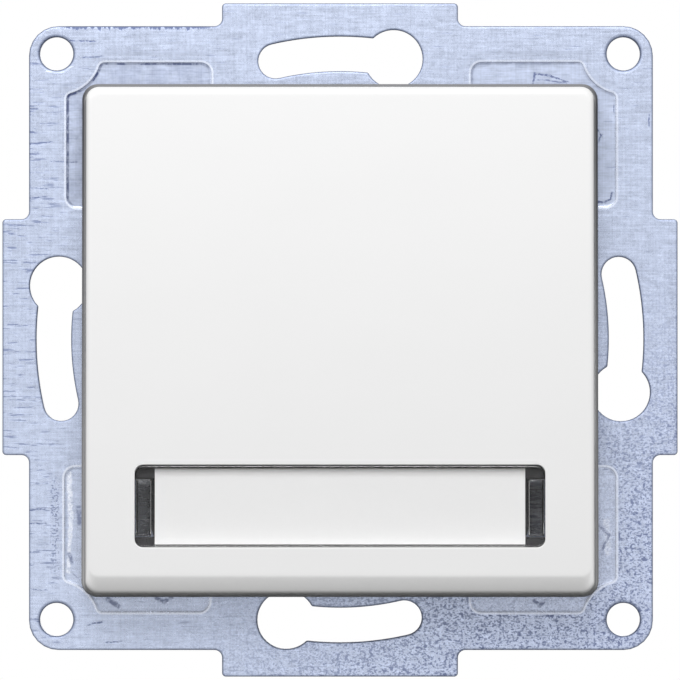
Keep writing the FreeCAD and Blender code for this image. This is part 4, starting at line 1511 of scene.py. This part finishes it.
@dataclass
class Rocker:
    """The white rocker, rolled over at its lower edge, with its label opening."""

    half_x: float = 26.75
    half_z: float = 26.65
    face: float = -11.4
    inner_face: float = -9.6
    skirt: float = -3.8
    wall: float = 1.6
    pivot_y: float = -5.6
    pivot_z: float = -0.2
    rest_tilt: float = 4.0
    skirt_corner: float = 1.35
    face_corner: float = 1.0
    side_draft: float = 2.2
    lip: float = 0.3
    upper_lip: float = 0.63
    # Painted shadow on the skirt's lip: its share above and below, and the lip's foot as how far out, how
    # much less deep than the upper lip, and how much painted shadow
    shadow_above: float = 0.8
    shadow_below: float = 0.5
    lip_foot_and_shadow: tuple[Numbers, Numbers] = ((0.0, 0.02, 0.6), (-0.01, 0.3, 0.9))
    lower_lip: float = -0.02
    upper_inset: float = 0.07
    lip_depth: float = 0.9
    inner_corner: float = 0.6
    skirt_edge: float = 0.15
    face_margin: float = 0.3
    label_z: float = -17.7
    label_half_x: float = 21.35
    label_half_z: float = 4.3
    label_corner: float = 0.9
    label_rim: float = 0.06
    ribs: int = 4
    rib_pitch: float = 12.0
    rib_size: Numbers = (1.0, 3.0, 9.0)
    overlap: float = 0.1
    back_rim: float = 0.05
    peg_x: float = 11.0
    peg_rises: tuple[float, float] = (10.5, -5.5)
    peg_radius: float = 1.3
    peg_end: float = -7.4
    side_roll: EdgeRoll = EdgeRoll(20.0, 0.18, 0.04, 0.38)
    upper_roll: EdgeRoll = EdgeRoll(30.0, 0.35, 0.15, 0.55)
    lower_roll: EdgeRoll = EdgeRoll(20.5, 0.35, 1.35, 0.9, 8.5)
    corner_steps: int = 12
    matt_from: float = 0.62

    def tilt(self) -> Matrix:
        """The turn from square to rest, about the axle, in metres."""
        pivot = Matrix.Translation((0, self.pivot_y * MM, self.pivot_z * MM))
        return pivot @ Matrix.Rotation(math.radians(-self.rest_tilt), 4, "X") @ pivot.inverted()

    def outer_rings(self, shell: Shell) -> list[list[int]]:
        """The outer surface's rings, from the skirt to the flat face.

        Args:
            shell: The mesh.

        Returns:
            The rings in order.
        """
        draft = math.radians(self.side_draft)
        side = self.side_roll.stations(90 - self.side_draft)
        upper = self.upper_roll.stations(90 - self.side_draft)
        lower = self.lower_roll.stations(90)
        side_in = (self.skirt - self.face - side[-1][1]) * math.tan(draft)
        upper_in = (self.skirt - self.face - upper[-1][1]) * math.tan(draft)
        n = self.corner_steps
        ease = [t * t * (3 - 2 * t) for t in (i / n for i in range(n + 1))]
        low_share = ease[::-1] + [0.0] * (2 * n + 2) + ease
        high_share = [0.0] * (n + 1) + ease + ease[::-1] + [0.0] * (n + 1)
        # Painted shadow on the lip round the outline: full along the bottom, from half to full up the sides,
        # and a little less along the top
        lower_shadow = [self.shadow_below + (1 - self.shadow_below) * t for t in ease[::-1]]
        upper_shadow = [1 - (1 - self.shadow_above) * t for t in ease]
        skirt_shadow = lower_shadow + upper_shadow + upper_shadow[::-1] + lower_shadow[::-1]

        def station(half_x: float, low: float, high: float, corner: float,
                    depths: tuple[float, float, float], matt: float, dark: float = 0.0) -> list[int]:
            """One ring, deeper or less deep above, beside and below.

            Args:
                half_x: Half its width.
                low: How far it reaches below the axle.
                high: How far it reaches above it.
                corner: Its corner radius.
                depths: How deep it lies beside, above and below.
                matt: How matt it is drawn.
                dark: How much painted shadow it is drawn with.

            Returns:
                The numbers of its points.
            """
            loop = box_outline(half_x, self.pivot_z - low, self.pivot_z + high, corner, n)
            at_side, at_top, at_bottom = depths
            depth = [self.face + at_side + (at_bottom - at_side) * below + (at_top - at_side) * above
                     for below, above in zip(low_share, high_share)]
            return shell.ring(loop, depth, matt, [-dark * share for share in skirt_shadow])

        whole, soft = self.skirt - self.face, self.skirt_edge
        upper_lip = whole - self.lip_depth
        # The skirt's lip, drawn fully in painted shadow, then its foot
        stations = [(self.lip - soft, whole, 1.0), (self.lip, whole - soft, 1.0),
                    (self.lip, upper_lip + soft, 1.0), (self.lip - soft, upper_lip, 1.0)]
        stations += [(out, upper_lip - above, dark) for out, above, dark in self.lip_foot_and_shadow]
        rings = []
        for out, depth, dark in stations:
            share = out / self.lip
            rings.append(station(self.half_x + out, self.half_z + share * self.lower_lip,
                                 self.half_z - self.upper_inset + share * self.upper_lip,
                                 self.skirt_corner + out, (depth,) * 3, 1.0, dark))
        last = len(side) - 1
        for index in range(last, -1, -1):
            share = index / last
            corner = self.face_corner + (self.skirt_corner - self.face_corner) * share
            rings.append(station(
                self.half_x - side_in - (side[-1][0] - side[index][0]),
                self.half_z - (lower[-1][0] - lower[index][0]),
                self.half_z - self.upper_inset - upper_in - (upper[-1][0] - upper[index][0]),
                corner, (side[index][1], upper[index][1], lower[index][1]),
                max(0.0, (share - self.matt_from) / (1 - self.matt_from))))
        margin = self.face_margin
        rings.append(station(
            self.half_x - side_in - side[-1][0] - margin, self.half_z - lower[-1][0] - margin,
            self.half_z - self.upper_inset - upper_in - upper[-1][0] - margin, self.face_corner,
            (0.0,) * 3, 0.0))
        return rings

    def inner_rings(self, shell: Shell) -> list[list[int]]:
        """The hollow's rings, from its ceiling to the skirt.

        Args:
            shell: The mesh.

        Returns:
            The rings in order.
        """
        inner_x, inner_z, soft = self.half_x - self.wall, self.half_z - self.wall, self.skirt_edge
        rings = []
        for grow, depth in ((0.0, self.inner_face), (0.0, self.skirt - soft), (soft, self.skirt)):
            loop = box_outline(inner_x + grow, self.pivot_z - inner_z - grow,
                               self.pivot_z + inner_z + grow, self.inner_corner, self.corner_steps)
            rings.append(shell.ring(loop, depth))
        return rings

    def stiffen(self, shell: Shell) -> None:
        """Add the ribs and pegs behind the face.

        Args:
            shell: The mesh.
        """
        root = self.inner_face - self.overlap
        top = self.pivot_z + self.half_z - self.wall
        across, deep, upright = self.rib_size
        for index in range(self.ribs):
            x = (index - (self.ribs - 1) / 2) * self.rib_pitch
            shell.block((x - across / 2, root, top - upright),
                        (x + across / 2, self.inner_face + deep, top + self.overlap))
        for x in (-self.peg_x, self.peg_x):
            for rise in self.peg_rises:
                shell.peg(x, self.pivot_z + rise, self.peg_radius, root, self.peg_end)

    def build(self) -> bpy.types.Object:
        """Make the rocker.

        Returns:
            The rocker's object.
        """
        shell = Shell()
        outer, inner = self.outer_rings(shell), self.inner_rings(shell)
        shell.strip(inner + outer)
        label = box_outline(self.label_half_x, self.label_z - self.label_half_z,
                            self.label_z + self.label_half_z, self.label_corner, 8)
        rim = self.label_rim
        opening = [shell.ring(grown(label, 3 * rim), self.face)]
        opening += [shell.ring(grown(label, rim * out), self.face + rim * deep)
                    for out, deep in ROUND_EDGE]
        opening += [shell.ring(label, self.inner_face - self.back_rim),
                    shell.ring(grown(label, self.back_rim), self.inner_face)]
        shell.strip(opening)
        shell.flat(outer[-1], [opening[0]])
        shell.flat(inner[0], [opening[-1]], front=False)
        self.stiffen(shell)
        return seat(shell.build("rocker_shell", self.tilt(), 35.0), "rocker", Finishes.rocker)


# Label window


@dataclass
class LabelWindow:
    """The clear window over the card, in one piece with its two snap legs."""

    half_x: float = 21.22
    half_z: float = 4.17
    corner: float = 0.77
    front: float = -11.15
    thickness: float = 0.9
    rim: float = 0.05
    rim_margin: float = 2.5
    back_rim: float = 0.06
    leg_x: float = 20.4
    leg_drop: float = 0.12
    leg_half_x: float = 0.7
    leg_half_z: float = 2.85
    leg_length: float = 3.2
    leg_corner: float = 0.12
    leg_bevel: float = 0.04
    hook: float = 0.15
    hook_length: float = 0.9

    def leg(self, shell: Shell, side: int, middle_z: float) -> list[list[int]]:
        """One snap leg's rings, from the plate's back to the leg's end.

        Args:
            shell: The mesh.
            side: -1 for the left leg and 1 for the right one.
            middle_z: The window's middle.

        Returns:
            The rings in order.
        """
        back = self.front + self.thickness
        end = back + self.leg_length
        low, high = middle_z - self.leg_drop - self.leg_half_z, middle_z - self.leg_drop + self.leg_half_z
        soft, bevel = self.back_rim, self.leg_bevel
        stations = ((0.0, soft, back), (0.0, 0.0, back + soft), (0.0, 0.0, end - self.hook_length),
                    (self.hook, 0.0, end - self.hook_length / 2), (0.0, 0.0, end - bevel / 2),
                    (0.0, -bevel, end))
        rings = []
        for bulge, grow, depth in stations:
            loop = box_outline(self.leg_half_x + bulge / 2 + grow, low - grow, high + grow,
                               self.leg_corner, 3, side * (self.leg_x + bulge / 2))
            # The leg behind the plate is marked, and the window's finish gives it painted shade
            rings.append(shell.ring(loop, depth, float(depth > back)))
        return rings

    def build(self, rocker: Rocker) -> bpy.types.Object:
        """Make the window.

        Args:
            rocker: The rocker whose opening it fills.

        Returns:
            The window's object.
        """
        shell = Shell()
        middle_z = rocker.label_z
        plate = box_outline(self.half_x, middle_z - self.half_z, middle_z + self.half_z, self.corner, 8)
        back, rim, soft = self.front + self.thickness, self.rim, self.back_rim
        outer = [shell.ring(grown(plate, -soft), back), shell.ring(plate, back - soft)]
        outer += [shell.ring(grown(plate, -rim * inward), self.front + rim * deep)
                  for inward, deep in ROUND_EDGE[::-1]]
        outer.append(shell.ring(grown(plate, -self.rim_margin * rim), self.front))
        shell.strip(outer)
        shell.flat(outer[-1])
        legs = [self.leg(shell, side, middle_z) for side in SIDES.values()]
        for rings in legs:
            shell.strip(rings[::-1])
            shell.flat(rings[-1], front=False)
        shell.flat(outer[0], [rings[0] for rings in legs], front=False)
        piece = shell.build("label_window_clear", rocker.tilt(), 35.0)
        return seat(piece, "label_window", Finishes.window)


# Coils and turned pieces, made by node trees


def inputs_of(part: object, names: str) -> dict[str, float]:
    """Some of a part's sizes, by the names of its tree's inputs, in metres."""
    return {name.replace("_", " ").title(): getattr(part, name) * MM for name in names.split()}


class GeometryBoard(Board):
    """A geometry tree with named inputs."""

    def __init__(self, name: str, sizes: dict[str, float]) -> None:
        """Start a tree.

        Args:
            name: The tree's name.
            sizes: The name and value of each input.
        """
        super().__init__(bpy.data.node_groups.new(name, "GeometryNodeTree"))
        self.sizes = sizes
        for title in sizes:
            self.tree.interface.new_socket(name=title, in_out="INPUT", socket_type="NodeSocketFloat")
        self.tree.interface.new_socket(name="Geometry", in_out="OUTPUT", socket_type="NodeSocketGeometry")
        self.start = self.tree.nodes.new("NodeGroupInput")

    def size(self, name: str) -> Field:
        """A named input."""
        return Field(self.tree, self.start.outputs[name])

    def grid(self, columns: int, rows: int) -> tuple[Field, Field, Field]:
        """A grid of points.

        Args:
            columns: Its points one way.
            rows: Its points the other way.

        Returns:
            The grid, and how far along it each way a point is, from 0 to 1.
        """
        mesh = self.add("GeometryNodeMeshGrid", inputs={
            "Size X": 1.0, "Size Y": 1.0, "Vertices X": columns, "Vertices Y": rows}, output="Mesh")
        across, upward, _ = self.split(self.add("GeometryNodeInputPosition"))
        return mesh, across + 0.5, upward + 0.5

    def spun(self, mesh: Field, radius: Field, angle: Field, depth: Field, x: Value, z: Value) -> Field:
        """Lay a grid's points round an axis that runs from front to back.

        Args:
            mesh: The grid.
            radius: Each point's distance from the axis.
            angle: Each point's angle.
            depth: Each point's depth.
            x: Where the axis is across.
            z: Where the axis is upward.

        Returns:
            The closed mesh.
        """
        place = self.add("ShaderNodeCombineXYZ", inputs={
            0: radius * angle.cosine() + x, 1: depth, 2: radius * angle.sine() + z})
        moved = self.add("GeometryNodeSetPosition", inputs={"Geometry": mesh, "Position": place})
        return self.add("GeometryNodeMergeByDistance", inputs={"Geometry": moved, "Distance": TINY})

    def turned(self, stations: list[tuple[Value, Value]], steps: int, x: Value, z: Value) -> Field:
        """Turn a profile round an axis.

        Args:
            stations: Each station's radius and depth.
            steps: How many faces lie round the axis.
            x: Where the axis is across.
            z: Where the axis is upward.

        Returns:
            The turned mesh.
        """
        mesh, along, around = self.grid(len(stations), steps + 1)
        number = self.add("ShaderNodeMath", {"operation": "ROUND"}, {0: along * (len(stations) - 1.0)})
        chosen = []
        for column in range(2):
            node = self.tree.nodes.new("GeometryNodeIndexSwitch")
            node.data_type = "FLOAT"
            while len(node.index_switch_items) < len(stations):
                node.index_switch_items.new()
            connect(self.tree, node.inputs["Index"], number)
            for index, station in enumerate(stations):
                connect(self.tree, node.inputs[index + 1], station[column])
            chosen.append(Field(self.tree, node.outputs[0]))
        return self.spun(mesh, chosen[0], around * WHOLE_TURN, chosen[1], x, z)

    def finished(self, mesh: Field, name: str, finish: Finish, sharp: float = 35.0) -> bpy.types.Object:
        """End the tree and make its plain mesh.

        Args:
            mesh: What the tree makes.
            name: The piece's name.
            finish: Its finish.
            sharp: Edges that turn by more degrees than this stay sharp.

        Returns:
            The piece, with no modifier left.
        """
        whole = self.add("GeometryNodeRealizeInstances", inputs={"Geometry": mesh})
        whole = self.add("GeometryNodeSetMaterial", inputs={"Geometry": whole, "Material": finish.material()})
        end = self.tree.nodes.new("NodeGroupOutput")
        self.tree.links.new(whole.socket, end.inputs["Geometry"])
        piece = bpy.data.objects.new(name, bpy.data.meshes.new(name))
        bpy.context.scene.collection.objects.link(piece)
        maker = piece.modifiers.new("maker", "NODES")
        maker.node_group = self.tree
        for item in self.tree.interface.items_tree:
            if item.item_type == "SOCKET" and item.in_out == "INPUT":
                maker[item.identifier] = float(self.sizes[item.name])
        applied(piece)
        work = bmesh.new()
        work.from_mesh(piece.data)
        bmesh.ops.recalc_face_normals(work, faces=work.faces)
        work.to_mesh(piece.data)
        work.free()
        smooth(piece.data, sharp)
        return piece


@dataclass(frozen=True)
class Coil:
    """A coil spring whose end turns lie close together, in millimetres."""

    node: str
    radius: float
    wire: float
    turns: float
    front: float
    back: float
    joint: str
    fixed_end: float
    keep: float
    x: float = 0.0
    z: float = 0.0
    tilt: float = 0.0
    steps_in_turn: int = 28
    steps_round_wire: int = 12
    solid_gap: float = 1.05

    def build(self, turn: Matrix) -> None:
        """Make the coil.

        Args:
            turn: Moves the mesh of a coil that has a tilt, in metres.
        """
        pitch = (self.back - self.front - self.wire) / self.turns
        board = GeometryBoard(self.node + "_coil", {
            "Middle Radius": (self.radius - self.wire / 2) * MM, "Wire Radius": self.wire / 2 * MM,
            "Turns": self.turns, "Closing": max(0.0, 1 - self.solid_gap * self.wire / pitch),
            **inputs_of(self, "front back x z")})
        size = board.size
        stations = int(self.turns * self.steps_in_turn)
        mesh, along, around = board.grid(stations + 1, self.steps_round_wire + 1)
        wire = size("Wire Radius") * (along.least(1.0 - along) * stations).least(1.0)
        rise = along - size("Closing") * (along * WHOLE_TURN).sine() / WHOLE_TURN
        span = size("Back") - size("Front") - size("Wire Radius") * 2.0
        round_wire = around * WHOLE_TURN
        depth = size("Front") + size("Wire Radius") + span * rise + wire * round_wire.sine()
        radius = size("Middle Radius") + wire * round_wire.cosine()
        angle = along * size("Turns") * WHOLE_TURN
        spun = board.spun(mesh, radius, angle, depth, size("X"), size("Z"))
        piece = board.finished(spun, self.node + "_wire", Finishes.spring, 60.0)
        if self.tilt:
            piece.data.transform(turn)
        seat(piece, self.node, Finishes.spring)
        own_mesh(piece)


@dataclass
class RingRivets:
    """The four rivets that hold the ring between the two halves of the body."""

    head: float = 1.75
    head_height: float = 0.7
    shank: float = 1.0
    front: float = -2.4
    flange_back: float = 2.6
    spread_x: float = 2 * RIVET_X
    spread_z: float = 2 * RIVET_Z
    edge: float = 0.12
    dome_foot: float = 0.25
    dome_angles: Numbers = (25.0, 50.0, 70.0)

    def build(self) -> bpy.types.Object:
        """Make the rivets, with a flat sunk head and a domed, formed end.

        Returns:
            The rivets' one object.
        """
        names = "head head_height shank front flange_back edge spread_x spread_z"
        board = GeometryBoard("ring_rivets_turned", inputs_of(self, names))
        head, high, shank = (board.size(n) for n in ("Head", "Head Height", "Shank"))
        front, back, edge = (board.size(n) for n in ("Front", "Flange Back", "Edge"))
        stations: list[tuple[Value, Value]] = [
            (0.0, front + edge * 1.5), (head * 0.35, front + edge * 1.5), (head * 0.45, front),
            (head - edge, front), (head, front + edge), (head, front + high), (shank, front + high),
            (shank, back), (head, back), (head, back + high * self.dome_foot)]
        for angle in self.dome_angles:
            turn = math.radians(angle)
            rise = self.dome_foot + (1 - self.dome_foot) * math.sin(turn)
            stations.append((head * math.cos(turn), back + high * rise))
        stations.append((0.0, back + high))
        rivet = board.turned(stations, 32, 0.0, 0.0)
        points, across, upward = board.grid(2, 2)
        place = board.add("ShaderNodeCombineXYZ", inputs={
            0: (across - 0.5) * board.size("Spread X"), 2: (upward - 0.5) * board.size("Spread Z")})
        points = board.add("GeometryNodeSetPosition", inputs={"Geometry": points, "Position": place})
        rivets = board.add("GeometryNodeInstanceOnPoints", inputs={"Points": points, "Instance": rivet})
        piece = board.finished(rivets, "ring_rivets_turned", Finishes.rivet)
        return seat(piece, "ring_rivets", Finishes.rivet)


@dataclass
class ClawScrew:
    """A slotted claw screw with a cut thread."""

    side: int
    x: float = CLAW_X
    head: float = 2.4
    head_height: float = 1.7
    front: float = -2.9
    shank: float = 1.25
    end: float = 10.0
    pitch: float = 0.45
    thread: float = 0.2
    slot: float = 0.6
    slot_depth: float = 0.9
    edge: float = 0.18
    steps_in_turn: int = 8
    steps_round: int = 24
    groove_flank: Ramp = (0.15, 0.9)
    thread_end: Ramp = (0.0, 0.03)
    thread_start: Ramp = (0.02, 0.08)
    tip: Ramp = (0.0, 0.04)
    tip_radius: float = 0.75

    def build(self) -> bpy.types.Object:
        """Make the screw.

        Returns:
            The screw's object.
        """
        node = "claw_screw_left" if self.side < 0 else "claw_screw_right"
        names = "head head_height front shank end thread edge slot slot_depth"
        board = GeometryBoard(node + "_turned", {
            **inputs_of(self, names), "Axis X": self.side * self.x * MM})
        size = board.size
        head, front, edge, x = size("Head"), size("Front"), size("Edge"), size("Axis X")
        under = front + size("Head Height")
        shank = size("Shank")
        stations: list[tuple[Value, Value]] = [
            (0.0, front), (head - edge * 2.5, front), (head - edge, front + edge * 0.5),
            (head, front + edge * 1.5), (head, under - edge * 0.5), (head - edge * 0.5, under),
            (shank * 0.8, under), (shank * 0.8, under + edge), (0.0, under + edge)]
        top = board.turned(stations, 40, x, 0.0)
        cut_size = board.add("ShaderNodeCombineXYZ", inputs={
            0: head * 3.0, 1: size("Slot Depth") * 2.0, 2: size("Slot")})
        cut_place = board.add("ShaderNodeCombineXYZ", inputs={0: x, 1: front, 2: 0.0})
        cube = board.add("GeometryNodeMeshCube", inputs={"Size": cut_size})
        cube = board.add("GeometryNodeTransform", inputs={"Geometry": cube, "Translation": cut_place})
        top = board.add("GeometryNodeMeshBoolean", {"operation": "DIFFERENCE"},
                        {"Mesh 1": top, "Mesh 2": cube})
        rounds = (self.end - self.front - self.head_height) / self.pitch
        mesh, along, around = board.grid(int(rounds * self.steps_in_turn) + 1, self.steps_round + 1)
        phase = (along * rounds - around) % 1.0
        ends = (1.0 - along).step(*self.thread_end) * along.step(*self.thread_start)
        cut = size("Thread") * (abs(phase - 0.5) * 2.0).step(*self.groove_flank) * ends
        taper = (1.0 - along).step(*self.tip) * (1.0 - self.tip_radius) + self.tip_radius
        capped = (along.least(1.0 - along) * SUDDEN).least(1.0)
        depth = under + (size("End") - under) * along
        rod = board.spun(mesh, (shank - cut) * taper * capped, around * WHOLE_TURN, depth, x, 0.0)
        both = board.tree.nodes.new("GeometryNodeJoinGeometry")
        board.tree.links.new(top.socket, both.inputs[0])
        board.tree.links.new(rod.socket, both.inputs[0])
        piece = board.finished(Field(board.tree, both.outputs[0]), node + "_turned", Finishes.screw, 40.0)
        return seat(piece, node, Finishes.screw)


# Stage


@dataclass(frozen=True)
class Lamp:
    """A soft square lamp that looks at the middle, in metres and watts."""

    name: str
    place: Numbers
    size: float
    power: float


@dataclass
class Stage:
    """The camera, the lamps, the pale floor and the white surroundings."""

    lens: float = 500.0
    sensor: float = 36.0
    view_width: float = 71.5
    nearest: float = 0.01
    floor_height: float = -0.12
    floor_radius: float = 0.6
    floor_colour: str = "#f4f4f2"
    floor_bounce: str = "#303030"
    floor_grain: Pattern = Pattern((0.02, 0.02, 0.02), 3.0, strength=0.02)
    sky: float = 0.16
    sky_rise: float = 0.15
    lamps: tuple[Lamp, ...] = (Lamp("key", (-0.04, -0.45, 0.30), 0.35, 2.92),
                               Lamp("back", (0.3, 1.0, 0.45), 0.7, 10.0))

    def put(self, name: str, data: bpy.types.ID) -> bpy.types.Object:
        """Put a camera, a lamp or a mesh into the scene.

        Args:
            name: The object's name.
            data: The camera, the lamp or the mesh.

        Returns:
            The object.
        """
        thing = bpy.data.objects.new(name, data)
        bpy.context.scene.collection.objects.link(thing)
        return thing

    def camera(self) -> None:
        """Look at the ring squarely from the front."""
        lens = bpy.data.cameras.new("camera")
        lens.lens = self.lens
        lens.sensor_width = self.sensor
        lens.clip_start = self.nearest
        spot = self.put("camera", lens)
        spot.location.y = RING_FRONT * MM - self.view_width * MM / self.sensor * self.lens
        spot.rotation_euler.x = math.radians(90)
        bpy.context.scene.camera = spot

    def light(self, lamp: Lamp) -> None:
        """Add a lamp.

        Args:
            lamp: The lamp.
        """
        light = bpy.data.lights.new(lamp.name, "AREA")
        light.size = lamp.size
        light.energy = lamp.power
        spot = self.put(lamp.name, light)
        spot.location = lamp.place
        spot.rotation_euler = (-Vector(lamp.place)).to_track_quat("-Z", "Y").to_euler()

    def seen(self, board: Board) -> Field:
        """Tell what the camera, a mirror or a window sees from soft light.

        Args:
            board: The tree.

        Returns:
            1 for what is seen, and 0 for soft light.
        """
        kinds = [board.add("ShaderNodeLightPath", output=name)
                 for name in ("Is Camera Ray", "Is Glossy Ray", "Is Transmission Ray")]
        scattered = board.add("ShaderNodeLightPath", output="Diffuse Depth")
        return kinds[0].most(kinds[1]).most(kinds[2]) * (1.0 - scattered).most(0.0)

    def surroundings(self) -> None:
        """White to look at, and a plain soft light that is weaker from below."""
        world = bpy.data.worlds.new("surroundings")
        bpy.context.scene.world = world
        world.use_nodes = True
        world.node_tree.nodes.clear()
        board = Board(world.node_tree)
        _, _, upward = board.split(board.add("ShaderNodeTexCoord", output="Generated"))
        seen = self.seen(board)
        strength = seen + (1.0 - seen) * (upward * self.sky_rise + self.sky)
        light = board.add("ShaderNodeBackground", inputs={"Color": (1, 1, 1, 1), "Strength": strength})
        output(board, light, "ShaderNodeOutputWorld")

    def floor(self) -> None:
        """A pale round floor below the object."""
        mesh = bpy.data.meshes.new("floor")
        work = bmesh.new()
        bmesh.ops.create_circle(work, cap_ends=True, segments=96, radius=self.floor_radius)
        work.to_mesh(mesh)
        work.free()
        mesh.transform(Matrix.Translation((0, 0, self.floor_height)))
        paint = bpy.data.materials.new("floor_paint")
        paint.use_nodes = True
        paint.node_tree.nodes.clear()
        board = Board(paint.node_tree)
        pale = board.shade(linear(self.floor_colour), board.swing(board.place(), self.floor_grain) + 1.0)
        colour = board.mix(self.seen(board), linear(self.floor_bounce), pale)
        output(board, board.add("ShaderNodeBsdfDiffuse", inputs={"Color": colour}))
        mesh.materials.append(paint)
        self.put("floor", mesh)

    def build(self) -> None:
        """Set the stage."""
        self.camera()
        self.floor()
        self.surroundings()
        for lamp in self.lamps:
            self.light(lamp)
        bpy.context.scene.view_settings.view_transform = "Standard"


# The whole button


@dataclass(frozen=True)
class MouldedNode:
    """A CAD node that is copied with softened edges."""

    node: str
    finish: Finish
    bevel: float

    def build(self) -> bpy.types.Object:
        """Copy the node and finish the copy."""
        return seat(soft_copy(self.node, self.bevel), self.node, self.finish)


@dataclass
class PushButton:
    """All the pieces of the button."""

    ring: SupportRing = field(default_factory=SupportRing)
    rocker: Rocker = field(default_factory=Rocker)
    axle_z: float = -0.2
    clamp_anchor: float = 17.9
    clamp_keep: float = 0.75

    def moulded(self) -> list[MouldedNode]:
        """The single nodes whose shape is right but for their edges.

        Returns:
            Each node with its finish and its rounding.
        """
        return [
            MouldedNode("mechanism_frame", Finishes.frame, 0.15),
            MouldedNode("mechanism_base", Finishes.base, 0.22),
            MouldedNode("terminal_cover", Finishes.base, 0.3),
            MouldedNode("rocker_cradle", Finishes.cradle, 0.12),
            MouldedNode("label_tray", Finishes.tray, 0.08),
            MouldedNode("label_card", Finishes.card, 0.0),
            MouldedNode("contact_plunger", Finishes.plunger, 0.08),
            MouldedNode("contact_blade", Finishes.blade, 0.05),
            MouldedNode("moving_contact", Finishes.silver, 0.06),
            MouldedNode("fixed_contact", Finishes.silver, 0.06),
            MouldedNode("common_terminal", Finishes.brass, 0.08),
            MouldedNode("fixed_terminal", Finishes.brass, 0.08)]

    def pairs(self) -> None:
        """Make the levers, the claws and the clamp springs."""
        for name, side in SIDES.items():
            MouldedNode("release_lever_" + name, Finishes.lever, 0.15).build()
            MouldedNode("claw_" + name, Finishes.claw, 0.1).build()
            spring = MouldedNode("clamp_spring_" + name, Finishes.spring, 0.05).build()
            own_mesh(spring)

    def coils(self) -> list[Coil]:
        """The coil springs.

        Returns:
            The coils, before they are built.
        """
        tilt = self.rocker.rest_tilt
        return [
            Coil("return_spring", 2.5, 0.45, 6, -8.3, -0.4, "rocker_tilt", -0.4, 0.88, z=-8.6),
            Coil("plunger_spring", 1.55, 0.3, 6, -7.5, -2.0, "plunger_slide", -7.5, 0.91,
                 z=self.axle_z, tilt=tilt),
            *(Coil("claw_spring_" + name, 1.85, 0.35, 3, -0.2, 3.0, "claw_" + name + "_swing", -0.2,
                   0.18, x=side * CLAW_X) for name, side in SIDES.items())]

    def build(self) -> None:
        """Make every piece."""
        self.ring.build()
        self.rocker.build()
        LabelWindow().build(self.rocker)
        for part in self.moulded():
            part.build()
        self.pairs()
        RingRivets().build()
        for side in SIDES.values():
            ClawScrew(side).build()
        for coil in self.coils():
            coil.build(self.rocker.tilt())


def main() -> None:
    """Build the button and its stage."""
    logging.basicConfig(level=logging.INFO, format="%(name)s %(message)s")
    PushButton().build()
    Stage().build()


if __name__ == "__main__":
    main()
